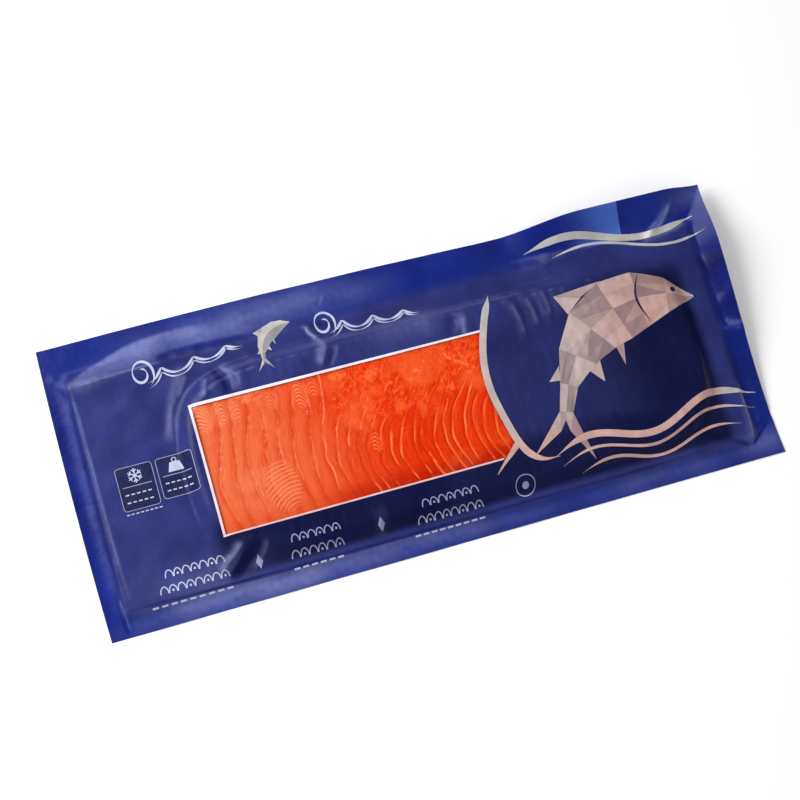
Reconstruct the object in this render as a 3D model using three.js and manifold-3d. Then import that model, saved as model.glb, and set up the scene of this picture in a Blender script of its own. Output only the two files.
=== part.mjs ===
// A flat vacuum pouch of sliced smoked salmon, lying on its back. Millimetres, +Z up.
//
// X runs along the pouch, Y across it, and the origin is under its middle, on the surface that it lies on.
// The printed film, with the card and the fish that it hides, is one solid. It has a recess where the print
// leaves a clear window: the slices of salmon lie in the recess, one solid each, under a panel of clear film.

import * as THREE from 'three';
import { mergeVertices } from 'three/addons/utils/BufferGeometryUtils.js';
import Module from 'manifold-3d';

const wasm = await Module();
wasm.setup();

// ---- Driving dimensions ----

const LENGTH = 600;
const WIDTH = 252;
const RIM = 0.9; // the two sealed films, drawn thicker than they are
const GAP = 0.3; // clearance between neighbouring solids
const PANEL = 0.5; // clear film over the window

// The stiff card under the fish, and how far the film takes to come down from its edges to the rim.
const CARD = { left: -281, right: 273, front: -105, back: 88, height: 4.6 };
const SLOPE = { left: 11, right: 12, front: 10, back: 15 };

// The side of fish. Its ends are squarer than its long edges, which "roll" rounds off.
const FISH = { left: -211, right: 259, front: -101, back: 78, height: 8.4 };
const FISH_FORM = { endPower: 8, edgePower: 3.2, roll: 0.42 };

// The clear window. Its right end bows inwards by "depth", "half" to each side of "middle". Its near right
// corner is cut off from "start" on, "slant" along the pack for each millimetre across it.
const WINDOW = { left: -191.7, right: 66.5, front: -68.5, back: 45.5 };
const BOW = { depth: 9.6, middle: -6, half: 51 };
const BOW_STEEPEST = (2 * BOW.depth) / BOW.half;
const CORNER = { start: -57, slant: 1.24 };
const WINDOW_END_STEPS = 16;
const RECESS_FLOOR = 3;

// The raised far right corner. Along the pack it starts at "start" and takes "run" to rise. Across it, it
// starts at "front", slanting further back towards the middle, and takes "reach" to rise.
const CURL = { height: 25, start: 107, run: 75, front: -112, slant: 0.35, reach: 190 };
const CURL_SHARE = { card: 0.26, flare: 1.25 }; // the card bends less than the loose rim beyond it
const DROOP = { share: 0.32, left: 262, front: 70 }; // how the very corner hangs down again
const WAIST = { right: 5.2, rightRun: 70, front: 3.2, frontRun: 46 }; // how far two edges are drawn in

// The slices of salmon. "lean" is how far a slice runs along the pack for each millimetre of depth, "step"
// the height that its upper face falls towards the next one, and "sink" its clearance under the film.
const SLICE = { first: -186, lean: 2.2, step: 0.9, sink: 0.25, gap: 0.7 };
const SHOWING = { wide: 12.6, narrow: 9.3, wideTo: 7, narrowFrom: 10 }; // how much of a slice shows
const SLICE_GRID = { stations: 16, columns: 2 };

// An edge leans left on its way across the window and swings to the right in its further half: by little on
// the left of the pack and in a wide S further right.
const STRAIGHTER = { lean: 32, swing: 34 };
const CURVED = { lean: 51, swing: 80 };
const CURVED_FROM = 7; // slices up to this one are straighter
const CURVED_OVER = 6; // and over this many more they turn into the S
const RIPPLE = { height: 1.1, waves: 1.2, phase: 0.37 };
const LEAST_SHOWING = 7; // the last slice shows at least this much of its face

const TALL = 60; // reaches well past the pouch's height and the slices' lean
const DEEP = -20; // a level well under the pouch
const MARGIN = 40; // how far a trimming layer runs past what it trims

// ---- Small helpers ----

const clamp01 = (t) => Math.min(1, Math.max(0, t));
const smooth = (t) => clamp01(t) ** 2 * (3 - 2 * clamp01(t));
const mix = (a, b, t) => a + (b - a) * t;

// Grid lines from one end to the other, given as stretches of [start, number of steps], with the end last.
function gridLines(stretches, end) {
  const lines = [];
  stretches.forEach(([start, steps], i) => {
    const stop = i + 1 < stretches.length ? stretches[i + 1][0] : end;
    for (let s = 0; s < steps; s += 1) lines.push(mix(start, stop, s / steps));
  });
  lines.push(end);
  return lines;
}

// Closer together where the film bends: over the rim, the card's edges and the fish's edges.
const ALONG = gridLines(
  [
    [-LENGTH / 2, 2], [-294, 6], [-276, 5], [-216, 6], [-192, 5], [-170, 20],
    [66, 5], [116, 8], [188, 6], [236, 5], [262, 6], [284, 3],
  ],
  LENGTH / 2,
);
const ACROSS = gridLines(
  [[-WIDTH / 2, 3], [-117, 5], [-97, 3], [-69, 9], [45, 5], [80, 6], [104, 4]],
  WIDTH / 2,
);

// ---- The form of the pouch ----

// How far the raised corner lifts off the surface: nothing on the left, most at the far edge, and a low
// flap along the right edge. The card takes a little of it and the loose rim the rest.
function lift(x, y) {
  const along = smooth((x - CURL.start) / CURL.run);
  const across = smooth((y - CURL.front - CURL.slant * Math.max(0, LENGTH / 2 - x)) / CURL.reach);
  const beyondRight = clamp01((x - CARD.right) / (LENGTH / 2 - CARD.right));
  const beyondBack = clamp01((y - CARD.back) / (WIDTH / 2 - CARD.back));
  const rim = mix(CURL_SHARE.card, 1, Math.max(beyondRight, beyondBack) ** CURL_SHARE.flare);
  const cornerRight = smooth((x - DROOP.left) / (LENGTH / 2 - DROOP.left));
  const cornerBack = smooth((y - DROOP.front) / (WIDTH / 2 - DROOP.front));
  return CURL.height * along * across * rim * (1 - DROOP.share * cornerRight * cornerBack);
}

// Share of the card's height at a point: one over the card, falling to nothing at the flat rim.
function overCard(x, y) {
  const left = smooth((x - CARD.left + SLOPE.left) / SLOPE.left);
  const right = smooth((CARD.right + SLOPE.right - x) / SLOPE.right);
  const front = smooth((y - CARD.front + SLOPE.front) / SLOPE.front);
  const back = smooth((CARD.back + SLOPE.back - y) / SLOPE.back);
  return left * right * front * back;
}

// Share of the fish's height at a point: a long rounded side of fish with rolled edges.
function overFish(x, y) {
  const u = (x - (FISH.left + FISH.right) / 2) / ((FISH.right - FISH.left) / 2);
  const v = (y - (FISH.front + FISH.back) / 2) / ((FISH.back - FISH.front) / 2);
  const within = 1 - Math.abs(u) ** FISH_FORM.endPower - Math.abs(v) ** FISH_FORM.edgePower;
  return smooth(within / FISH_FORM.roll);
}

// The upper face of the film.
function top(x, y) {
  return lift(x, y) + RIM + CARD.height * overCard(x, y) + FISH.height * overFish(x, y);
}

// The rectangular grid drawn in to the waisted outline of the pouch.
function drawnIn(x, y) {
  const right = (1 - (y / (WIDTH / 2)) ** 2) * smooth(1 - (LENGTH / 2 - x) / WAIST.rightRun);
  const front = (1 - (x / (LENGTH / 2)) ** 6) * smooth(1 - (WIDTH / 2 + y) / WAIST.frontRun);
  return [x - WAIST.right * right, y + WAIST.front * front];
}

// ---- Solids from height functions ----

// A closed mesh between two height functions over a grid. "place" moves a grid point in plan. All faces are
// split along the same diagonal, so that two layers over one grid stay the same distance apart.
function gridSolid(xs, ys, upper, lower, place = (x, y) => [x, y]) {
  const columns = xs.length;
  const rows = ys.length;
  const positions = [];
  for (const height of [upper, lower]) {
    for (const y of ys) {
      for (const x of xs) {
        const [px, py] = place(x, y);
        positions.push(px, py, height(px, py));
      }
    }
  }
  const under = columns * rows;
  const at = (i, j) => j * columns + i;
  const index = [];
  const quad = (a, b, c, d) => index.push(a, b, c, a, c, d);
  for (let j = 0; j + 1 < rows; j += 1) {
    for (let i = 0; i + 1 < columns; i += 1) {
      const [a, b, c, d] = [at(i, j), at(i + 1, j), at(i + 1, j + 1), at(i, j + 1)];
      quad(a, b, c, d);
      quad(a + under, d + under, c + under, b + under);
    }
  }
  for (let i = 0; i + 1 < columns; i += 1) {
    const [a, b, c, d] = [at(i, 0), at(i + 1, 0), at(i, rows - 1), at(i + 1, rows - 1)];
    quad(a + under, b + under, b, a);
    quad(d + under, c + under, c, d);
  }
  for (let j = 0; j + 1 < rows; j += 1) {
    const [a, b, c, d] = [at(columns - 1, j), at(columns - 1, j + 1), at(0, j), at(0, j + 1)];
    quad(a + under, b + under, b, a);
    quad(c + under, c, d, d + under);
  }
  const geometry = new THREE.BufferGeometry();
  geometry.setAttribute('position', new THREE.Float32BufferAttribute(positions, 3));
  geometry.setIndex(index);
  return geometry;
}

function toManifold(source) {
  const bare = source.clone();
  bare.deleteAttribute('normal');
  bare.deleteAttribute('uv');
  const merged = mergeVertices(bare, 1e-4);
  const vertProperties = new Float32Array(merged.attributes.position.array);
  const triVerts = new Uint32Array(merged.index.array);
  return new wasm.Manifold(new wasm.Mesh({ numProp: 3, vertProperties, triVerts }));
}

function toGeometry(solid) {
  const mesh = solid.getMesh();
  const geometry = new THREE.BufferGeometry();
  const positions = [];
  for (let v = 0; v < mesh.vertProperties.length; v += mesh.numProp) {
    positions.push(...mesh.vertProperties.slice(v, v + 3));
  }
  geometry.setAttribute('position', new THREE.Float32BufferAttribute(positions, 3));
  geometry.setIndex([...mesh.triVerts]);
  geometry.computeVertexNormals();
  return geometry;
}

// ---- The window ----

// Place across the window: nothing at its front edge, one at its back edge.
const acrossWindow = (y) => (y - WINDOW.front) / (WINDOW.back - WINDOW.front);

// The window's right end at a place across the pack, drawn in by "inset".
function windowRight(y, inset = 0) {
  const beyond = clamp01(Math.abs(y - BOW.middle) / BOW.half);
  const bowed = WINDOW.right - BOW.depth * (1 - beyond ** 2) - inset * Math.hypot(1, BOW_STEEPEST);
  const cut = WINDOW.right - CORNER.slant * Math.max(0, CORNER.start - y);
  return Math.min(bowed, cut - inset * Math.hypot(1, CORNER.slant));
}

// An upright prism over the window's outline, drawn in by "inset" on every side.
function windowPrism(inset, floor) {
  const shape = new THREE.Shape();
  const front = WINDOW.front + inset;
  const back = WINDOW.back - inset;
  shape.moveTo(WINDOW.left + inset, front);
  for (const y of gridLines([[front, 1], [CORNER.start, WINDOW_END_STEPS]], back)) {
    shape.lineTo(windowRight(y, inset), y);
  }
  shape.lineTo(WINDOW.left + inset, back);
  const prism = new THREE.ExtrudeGeometry(shape, { depth: TALL, bevelEnabled: false });
  prism.translate(0, 0, floor);
  return toManifold(prism);
}

// ---- The printed pouch ----

// Everything under the film, down past the surface, less what is under the raised corner and the recess.
function makePouch() {
  const body = toManifold(gridSolid(ALONG, ACROSS, top, () => DEEP, drawnIn));
  const liftedAlong = [-LENGTH, ...ALONG.filter((x) => x > CURL.start - MARGIN), LENGTH];
  const liftedAcross = [-WIDTH, ...ACROSS, WIDTH];
  const below = toManifold(gridSolid(liftedAlong, liftedAcross, lift, () => 2 * DEEP, drawnIn));
  return toGeometry(body.subtract(below).subtract(windowPrism(0, RECESS_FLOOR)));
}

// A layer over the window that follows the film's upper face, from one depth under it to another height.
function windowLayer(depth, lower) {
  const xs = ALONG.filter((x) => x > WINDOW.left - MARGIN && x < WINDOW.right + MARGIN);
  const ys = ACROSS.filter((y) => y > WINDOW.front - MARGIN && y < WINDOW.back + MARGIN);
  return toManifold(gridSolid(xs, ys, (x, y) => top(x, y) - depth, lower));
}

function makeWindowFilm() {
  const sheet = windowLayer(0, (x, y) => top(x, y) - PANEL);
  return toGeometry(sheet.intersect(windowPrism(GAP, 0)));
}

// ---- The slices ----

// Where slice k starts along the pack: each shows "wide" of its face on the left, narrowing to "narrow".
function sliceStart(k) {
  let start = SLICE.first;
  for (let i = 1; i <= k; i += 1) {
    const narrowing = smooth((i - SHOWING.wideTo) / (SHOWING.narrowFrom - SHOWING.wideTo));
    start += mix(SHOWING.wide, SHOWING.narrow, narrowing);
  }
  return start;
}

// The visible edge of slice k.
function sliceEdge(k, y) {
  const s = acrossWindow(y);
  const curved = smooth((k - CURVED_FROM) / CURVED_OVER);
  const lean = mix(STRAIGHTER.lean, CURVED.lean, curved);
  const swing = mix(STRAIGHTER.swing, CURVED.swing, curved);
  const bend = swing * s ** 3 * (4 - 3 * s) - lean * s;
  const ripple = RIPPLE.height * Math.sin(2 * Math.PI * (RIPPLE.waves * s + RIPPLE.phase * k));
  return sliceStart(k) + bend + ripple;
}

// How much of the window's right end slice k and all after it would take, where that is most.
function leftFor(k) {
  const ys = gridLines([[WINDOW.front, WINDOW_END_STEPS]], WINDOW.back);
  return Math.max(...ys.map((y) => windowRight(y) - sliceEdge(k, y)));
}

// One slice, trimmed to the recess. It runs down to the card on a slant, under the slices to its right. The
// first one also fills the recess's left end, and the last one its right end.
function makeSlice(k, isLast, trim) {
  const ys = gridLines([[WINDOW.front - GAP, SLICE_GRID.stations]], WINDOW.back + GAP);
  const shares = gridLines([[0, SLICE_GRID.columns]], 1);
  const geometry = gridSolid(shares, ys, () => 0, () => 0);
  const points = geometry.attributes.position;
  const depth = CARD.height + FISH.height;
  for (let v = 0; v < points.count; v += 1) {
    const share = points.getX(v);
    const y = points.getY(v);
    const rightEdge = isLast ? WINDOW.right + GAP : sliceEdge(k + 1, y) - SLICE.gap / 2;
    const x = mix(sliceEdge(k, y) + SLICE.gap / 2, rightEdge, share);
    if (v < points.count / 2) {
      points.setXYZ(v, x, y, top(x, y) - PANEL - GAP - SLICE.sink - SLICE.step * share ** 1.5);
    } else {
      const leftEnd = k === 0 && share === 0 ? TALL : 0;
      points.setXYZ(v, x + depth * SLICE.lean - leftEnd, y, RIM);
    }
  }
  const bodies = toManifold(geometry).intersect(trim).decompose();
  return bodies.reduce((largest, body) => (body.volume() > largest.volume() ? body : largest));
}

function makeSlices() {
  const trim = windowPrism(GAP, RECESS_FLOOR + GAP).intersect(windowLayer(PANEL + GAP, () => 0));
  const slices = [];
  for (let k = 0; leftFor(k) > LEAST_SHOWING; k += 1) {
    slices.push(makeSlice(k, leftFor(k + 1) <= LEAST_SHOWING, trim));
  }
  return slices.map(toGeometry);
}

// ---- Materials and the finished group ----

const printedFilm = new THREE.MeshStandardMaterial({ color: 0x27307c, roughness: 0.35, metalness: 0 });
const clearFilm = new THREE.MeshStandardMaterial({
  color: 0xf2f4f8, roughness: 0.12, metalness: 0, transparent: true, opacity: 0.25,
});
const flesh = new THREE.MeshStandardMaterial({ color: 0xea5a2a, roughness: 0.4, metalness: 0 });

function named(name, geometry, material) {
  const mesh = new THREE.Mesh(geometry, material);
  mesh.name = name;
  return mesh;
}

const pack = new THREE.Group();
pack.add(named('pouch', makePouch(), printedFilm));
pack.add(named('window_film', makeWindowFilm(), clearFilm));
makeSlices().forEach((geometry, i) => {
  pack.add(named(`salmon_slice_${String(i + 1).padStart(2, '0')}`, geometry, flesh));
});

export default pack;
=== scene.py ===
"""A vacuum pouch of sliced smoked salmon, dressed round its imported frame.

The form functions work in millimetres, as the part's own source does, and meshes are written in metres.
"""

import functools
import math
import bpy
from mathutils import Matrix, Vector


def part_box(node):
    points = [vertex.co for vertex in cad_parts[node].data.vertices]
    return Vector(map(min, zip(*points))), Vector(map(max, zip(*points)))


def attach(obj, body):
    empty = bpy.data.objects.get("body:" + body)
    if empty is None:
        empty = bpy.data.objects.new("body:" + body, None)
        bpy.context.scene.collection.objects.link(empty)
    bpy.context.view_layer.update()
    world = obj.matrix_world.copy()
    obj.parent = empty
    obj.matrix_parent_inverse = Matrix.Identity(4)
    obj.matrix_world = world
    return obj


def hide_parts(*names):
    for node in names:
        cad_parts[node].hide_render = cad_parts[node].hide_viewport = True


bl_info = {
    "name": "Smoked Salmon Pouch",
    "version": (1, 0, 0),
    "blender": (4, 5, 0),
    "location": "3D View > Sidebar > Salmon Pouch",
    "description": "Builds the films, the print and the slices of a vacuum pouch of smoked salmon",
    "category": "Add Mesh",
}

import bpy
import numpy as np
from mathutils import Quaternion, Vector

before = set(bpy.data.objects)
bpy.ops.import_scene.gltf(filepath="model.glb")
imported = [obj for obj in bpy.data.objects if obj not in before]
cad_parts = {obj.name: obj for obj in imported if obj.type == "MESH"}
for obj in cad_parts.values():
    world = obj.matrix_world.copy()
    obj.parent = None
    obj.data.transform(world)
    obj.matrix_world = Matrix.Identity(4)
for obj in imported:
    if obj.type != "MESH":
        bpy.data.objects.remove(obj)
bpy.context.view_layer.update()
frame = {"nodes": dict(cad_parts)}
POUCH_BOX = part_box("pouch")
MM = 0.001

# ---- The form of the pouch, in millimetres ----

LENGTH = round((POUCH_BOX[1].x - POUCH_BOX[0].x) / MM)
WIDTH = round((POUCH_BOX[1].y - POUCH_BOX[0].y) / MM)
END, SIDE = LENGTH / 2, WIDTH / 2
RIM, PANEL, GAP = 0.9, 0.5, 0.3  # thickness of the frame's rim and clear panel, and the gap under the panel

CARD_LEFT, CARD_RIGHT, CARD_FRONT, CARD_BACK, CARD_HEIGHT = -281, 273, -105, 88, 4.6
SLOPE_LEFT, SLOPE_RIGHT, SLOPE_FRONT, SLOPE_BACK = 11, 12, 10, 15
FISH_LEFT, FISH_RIGHT, FISH_FRONT, FISH_BACK, FISH_HEIGHT = -211, 259, -101, 78, 8.4
FISH_END_POWER, FISH_EDGE_POWER, FISH_ROLL = 8, 3.2, 0.42
WINDOW_LEFT, WINDOW_RIGHT, WINDOW_FRONT, WINDOW_BACK = -191.7, 66.5, -68.5, 45.5
BOW_DEPTH, BOW_MIDDLE, BOW_HALF = 9.6, -6, 51
CORNER_START, CORNER_SLANT = -57, 1.24

CURL_HEIGHT, CURL_START, CURL_RUN, CURL_FRONT, CURL_SLANT, CURL_REACH = 25, 107, 75, -112, 0.35, 190
CURL_CARD_SHARE, CURL_FLARE, RIDGE_ROUND = 0.26, 1.25, 0.5
DROOP_SHARE, DROOP_LEFT, DROOP_FRONT = 0.40, 262, 70
WAIST_RIGHT, WAIST_FRONT = 3.0, 0.2  # how far the outline is drawn in
SWELL_FAR, SWELL_FAR_MIDDLE, SWELL_FAR_HALF = 2.2, -100, 190  # the film's far and left edges bow out a little
SWELL_LEFT, SWELL_LEFT_MIDDLE, SWELL_LEFT_HALF = 2.6, 40, 166
OUTLINE_RUN, OUTLINE_RUN_RIGHT = 46, 70  # how far in from the sides, and from the right end, this reaches

SLICES = sum(name.startswith("salmon_slice_") for name in frame["nodes"])
SLICE_FIRST, SLICE_STEP, SLICE_SINK = -186, 0.9, 0.25
SHOWING_WIDE, SHOWING_NARROW, SHOWING_WIDE_TO, SHOWING_NARROW_FROM = 12.6, 9.3, 7, 10
STRAIGHTER_LEAN, STRAIGHTER_SWING, CURVED_LEAN, CURVED_SWING = 32, 34, 51, 80
CURVED_FROM, CURVED_FULLY = 7, 13
RIPPLE_HEIGHT, RIPPLE_WAVES, RIPPLE_PHASE = 1.1, 1.2, 0.37


def clamp01(t):
    return np.clip(t, 0.0, 1.0)


def smooth(t):
    t = clamp01(t)
    return t * t * (3 - 2 * t)


def rise(value, start, full):
    """0 at start and 1 at full, smooth between them and level beyond."""
    return smooth((value - start) / (full - start))


def mix(a, b, t):
    return a + (b - a) * t


def rounded_most(a, b):
    """The larger of two shares, with the ridge where they are alike rounded over."""
    near = np.maximum(0, 1 - np.abs(a - b) / RIDGE_ROUND)
    most = np.maximum(a, b)
    return most * (1 + 0.25 * RIDGE_ROUND * near**2 * (1 - most**3))


def lift(x, y):
    """How far the raised far right corner lifts the pouch."""
    along = rise(x, CURL_START, CURL_START + CURL_RUN)
    across = smooth((y - CURL_FRONT - CURL_SLANT * np.maximum(0, END - x)) / CURL_REACH)
    beyond_right = clamp01((x - CARD_RIGHT) / (END - CARD_RIGHT))
    beyond_back = clamp01((y - CARD_BACK) / (SIDE - CARD_BACK))
    rim = mix(CURL_CARD_SHARE, 1, rounded_most(beyond_right, beyond_back) ** CURL_FLARE)
    corner = rise(x, DROOP_LEFT, END) * rise(y, DROOP_FRONT, SIDE)
    return CURL_HEIGHT * along * across * rim * (1 - DROOP_SHARE * corner)


def over_card(x, y):
    """One over the stiff card, falling to nothing at the flat rim."""
    along = rise(x, CARD_LEFT - SLOPE_LEFT, CARD_LEFT) * rise(x, CARD_RIGHT + SLOPE_RIGHT, CARD_RIGHT)
    across = rise(y, CARD_FRONT - SLOPE_FRONT, CARD_FRONT) * rise(y, CARD_BACK + SLOPE_BACK, CARD_BACK)
    return along * across


def over_fish(x, y):
    """One over the side of fish, falling to nothing past its rolled edges."""
    u = (x - (FISH_LEFT + FISH_RIGHT) / 2) / ((FISH_RIGHT - FISH_LEFT) / 2)
    v = (y - (FISH_FRONT + FISH_BACK) / 2) / ((FISH_BACK - FISH_FRONT) / 2)
    return smooth((1 - np.abs(u) ** FISH_END_POWER - np.abs(v) ** FISH_EDGE_POWER) / FISH_ROLL)


def pouch_top(x, y):
    """The upper face of the pouch, as the frame has it."""
    return lift(x, y) + RIM + CARD_HEIGHT * over_card(x, y) + FISH_HEIGHT * over_fish(x, y)


def drawn_in(x, y):
    """Takes a rectangular grid to the film's outline, drawn in at two sides and bowed out at the others."""
    right = (1 - (y / SIDE) ** 2) * rise(x, END - OUTLINE_RUN_RIGHT, END)
    front = (1 - (x / END) ** 6) * rise(y, OUTLINE_RUN - SIDE, -SIDE)
    far = clamp01(1 - ((x - SWELL_FAR_MIDDLE) / SWELL_FAR_HALF) ** 2) * rise(y, SIDE - OUTLINE_RUN, SIDE)
    left = clamp01(1 - ((y - SWELL_LEFT_MIDDLE) / SWELL_LEFT_HALF) ** 2) * rise(x, OUTLINE_RUN - END, -END)
    return x - WAIST_RIGHT * right - SWELL_LEFT * left, y + WAIST_FRONT * front + SWELL_FAR * far


def window_right(y):
    """The window's right end: it bows inwards, and its near corner is cut off on a slant."""
    beyond = clamp01(np.abs(y - BOW_MIDDLE) / BOW_HALF)
    bowed = WINDOW_RIGHT - BOW_DEPTH * (1 - beyond**2)
    return np.minimum(bowed, WINDOW_RIGHT - CORNER_SLANT * np.maximum(0, CORNER_START - y))


def slice_start(k):
    """Where the edge of slice k meets the window's near side."""
    narrowing = rise(np.arange(1, k + 1), SHOWING_WIDE_TO, SHOWING_NARROW_FROM)
    return SLICE_FIRST + mix(SHOWING_WIDE, SHOWING_NARROW, narrowing).sum()


def slice_edge(k, y):
    """The visible edge of slice k: it leans left, then swings right, on the right of the pack in a wide S."""
    s = (y - WINDOW_FRONT) / (WINDOW_BACK - WINDOW_FRONT)
    curved = rise(k, CURVED_FROM, CURVED_FULLY)
    lean = mix(STRAIGHTER_LEAN, CURVED_LEAN, curved)
    swing = mix(STRAIGHTER_SWING, CURVED_SWING, curved)
    ripple = RIPPLE_HEIGHT * np.sin(math.tau * (RIPPLE_WAVES * s + RIPPLE_PHASE * k))
    return slice_start(k) + swing * s**3 * (4 - 3 * s) - lean * s + ripple


# ---- Relief of the film ----

# Creases and hollows of the printed film: where each runs from and to, its half width and its height.
CREASES = (
    ((-280, 87), (-205, 103), 8.0, 2.0),  # the film is tented from the card's corner to the rim
    ((-214, 101), (-120, 108), 9.0, 1.5),
    ((-283, 84), (-296, 100), 4.0, 0.8),
    ((-187, 80), (-201, 57), 4.5, 0.9),  # beside the window's far left corner
    ((-201, 59), (-213, 20), 4.5, 0.7),
    ((-132, 78), (-128, 50), 4.0, 0.4),
    ((-78, 90), (-70, 76), 2.6, 1.0),
    ((-68, 74), (-74, 52), 4.0, 0.5),
    ((56, 66), (52, 40), 4.0, 1.1),  # between the window and the card's far edge
    ((45, 64), (41, 42), 5.0, -0.9),
    ((20, 78), (24, 50), 6.0, 0.5),
    ((-181, -78), (-200, -94), 3.4, 0.8),  # below the window's near left corner
    ((-60, -80), (-66, -102), 5.0, 0.5),
    ((96, 70), (101, 30), 3.4, 0.5),  # over the hidden slices
    ((110, 72), (113, 36), 3.2, 0.5),
    ((124, 70), (127, 40), 3.4, 0.6),
    ((139, 66), (140, 42), 3.2, 0.4),
    ((266, 112), (239, 89), 3.2, 1.9),  # at the raised corner
    ((238, 88), (284, 96), 3.4, 1.0),
    ((262, 82), (282, 60), 6.0, -1.0),
    ((278, -4), (297, -12), 6.0, 1.6),  # across the flap
    ((276, 40), (290, 24), 9.0, -1.2),
    ((228, -88), (273, -113), 4.0, -1.7),  # from the card's near right corner
    ((273, -113), (299, -88), 3.4, -1.3),
    ((277, -56), (273, -112), 2.6, 1.0),
    ((290, -60), (286, -96), 5.0, 0.9),
)
CREASE_TAPER = 0.4  # share of a crease's length over which each end tapers

STREAKS = ((-291, 2.4, 0.40), (-285.6, 2.0, -0.40))  # along the left end: place, half width and height
STREAK_ENDS = 14

# The film's soft unevenness: over what it lies, its height, and its waves' length, seed, heading and spread.
UNEVENNESS = (
    ("slope", 0.14, (15, 11, 0, 0.9)),
    ("card", 0.14, (24, 12)),
    ("fish", 0.16, (11, 13, 0.1, 0.7)),
    ("fish", 0.10, (30, 14)),
    ("rim", 0.33, (70, 15, 0.2, 1.6)),
)
RIM_RAISED = 0.33
RIM_PRESSED, CARD_PRESSED = 0.36, 3.5  # the deepest hollows at the rim, and how much deeper over the card

FILM_EDGE = 0.45  # thickness of the two films where they are sealed
FILM_WALL = 0.36  # depth of the front film's wall round its outline
WINDOW_CALM, CLEAR_CALM = 8, 6  # each film's relief dies away over this distance from the window's outline
EDGE_IN, EDGE_HALF, EDGE_PRESSED = 2.0, 2.6, 0.30  # where a slice's edge presses through the clear film
CLEAR_SUNK, CLEAR_UNEVEN = 0.12, 0.10


def crease(x, y, start, end, width, height):
    """A rounded ridge, or a hollow where height is negative, from start to end."""
    run = math.dist(start, end)
    ux = (end[0] - start[0]) / run
    uy = (end[1] - start[1]) / run
    along = (x - start[0]) * ux + (y - start[1]) * uy
    aside = (y - start[1]) * ux - (x - start[0]) * uy
    taper = CREASE_TAPER * run
    ends = smooth((along + taper / 2) / taper) * smooth((run + taper / 2 - along) / taper)
    return height * ends * np.exp(-((aside / width) ** 2))


def crease_relief(x, y):
    return sum(crease(x, y, *row) for row in CREASES)


def cockle(x, y, wavelength, seed, heading=0.0, spread=math.pi, waves=9):
    """An uneven field of soft waves, from about -1 to 1, that run within spread of a heading."""
    draw = np.random.default_rng(seed)
    total = np.zeros_like(x, dtype=float)
    for _ in range(waves):
        angle = heading + draw.uniform(-spread / 2, spread / 2)
        length = wavelength * draw.uniform(0.75, 1.35)
        phase = draw.uniform(0, math.tau)
        total += np.sin((x * math.cos(angle) + y * math.sin(angle)) * math.tau / length + phase)
    return total / math.sqrt(waves * 2)


def uneven(x, y, level, rows):
    """A level with soft waves on it. Each row is the waves' height and their values for cockle."""
    return sum((height * cockle(x, y, *waves) for height, waves in rows), level)


def window_distance(x, y):
    """Distance outside the window's outline; below nothing, the distance in from it."""
    beyond_x = np.maximum(WINDOW_LEFT - x, x - window_right(y))
    beyond_y = np.maximum(WINDOW_FRONT - y, y - WINDOW_BACK)
    return np.maximum(beyond_x, beyond_y)


def film_relief(x, y):
    """What the printed film adds to the frame's form: creases, streaks and soft unevenness."""
    card = over_card(x, y)
    fish = over_fish(x, y)
    front, back = CARD_FRONT - SLOPE_FRONT, CARD_BACK + SLOPE_BACK
    near_card = rise(y, front, front + STREAK_ENDS) * rise(y, back, back - STREAK_ENDS)
    streaks = sum(height * np.exp(-(((x - at) / width) ** 2)) for at, width, height in STREAKS)
    over = {"rim": 1 - card, "slope": 4 * card * (1 - card), "card": card * (1 - fish), "fish": fish}
    relief = crease_relief(x, y) + near_card * streaks + RIM_RAISED * over["rim"]
    for place, height, waves in UNEVENNESS:
        relief = relief + height * over[place] * cockle(x, y, *waves)
    relief = relief * smooth(window_distance(x, y) / WINDOW_CALM)
    return np.maximum(relief, -RIM_PRESSED - CARD_PRESSED * card)


def film_height(x, y):
    """The printed film's upper face."""
    thinner = (RIM - FILM_EDGE) * (1 - over_card(x, y))
    return pouch_top(x, y) - thinner + film_relief(x, y)


def frame_height(x, y):
    """Over the window's edge: the higher of the two films."""
    return np.maximum(film_height(x, y), pouch_top(x, y))


def clear_height(x, y):
    """The clear film's face: the frame's, with the slices' edges pressing through."""
    pressed = [np.exp(-(((x - slice_edge(k, y) - EDGE_IN) / EDGE_HALF) ** 2)) for k in range(1, SLICES)]
    relief = EDGE_PRESSED * np.maximum.reduce(pressed) - CLEAR_SUNK + CLEAR_UNEVEN * cockle(x, y, 9, 31)
    return pouch_top(x, y) + relief * smooth(-window_distance(x, y) / CLEAR_CALM)


# ---- Tones of the film ----

# Where the fish shows through the print, along and across the pack: from nothing to full at each side.
SHOWS_LEFT, SHOWS_RIGHT, SHOWS_FRONT = (-206, -190), (266, 252), (-106, -98)
SHOWS_BACK_LEFT, SHOWS_BACK_RIGHT, SHOWS_BACK_TURNS = (54, 28), (76, 50), (60, 120)  # further back at right
SHOWS_DEEP_RIGHT, SHOWS_DEEP_FRONT, SHOWS_LEAST = (130, 210), (-44, -66), 0.42

# Broad painted sheen on the film, and painted shade where the strength is below nothing: centre, half length
# along the pack, half depth across it and strength.
PAINTED_LIGHT_AREAS = (
    ((-120, 112), 75, 12, 0.26),
    ((-60, 113), 60, 12, 0.10),
    ((-180, -118), 85, 9, 0.34),
    ((-215, -93), 45, 12, 0.15),
    ((-180, 62), 14, 8, -0.12),
    ((-20, -118), 110, 8, 0.16),
    ((286, -112), 20, 12, 0.24),
    ((289, 42), 14, 44, -1.0),
    ((287, -40), 10, 40, -0.35),
    ((290, 116), 24, 13, 0.22),
    ((-296, 40), 10, 70, -0.35),
    ((120, 112), 60, 12, -0.25),
    ((190, -118), 60, 9, 0.16),
    ((5, 66), 34, 12, 0.12),
)
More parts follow.
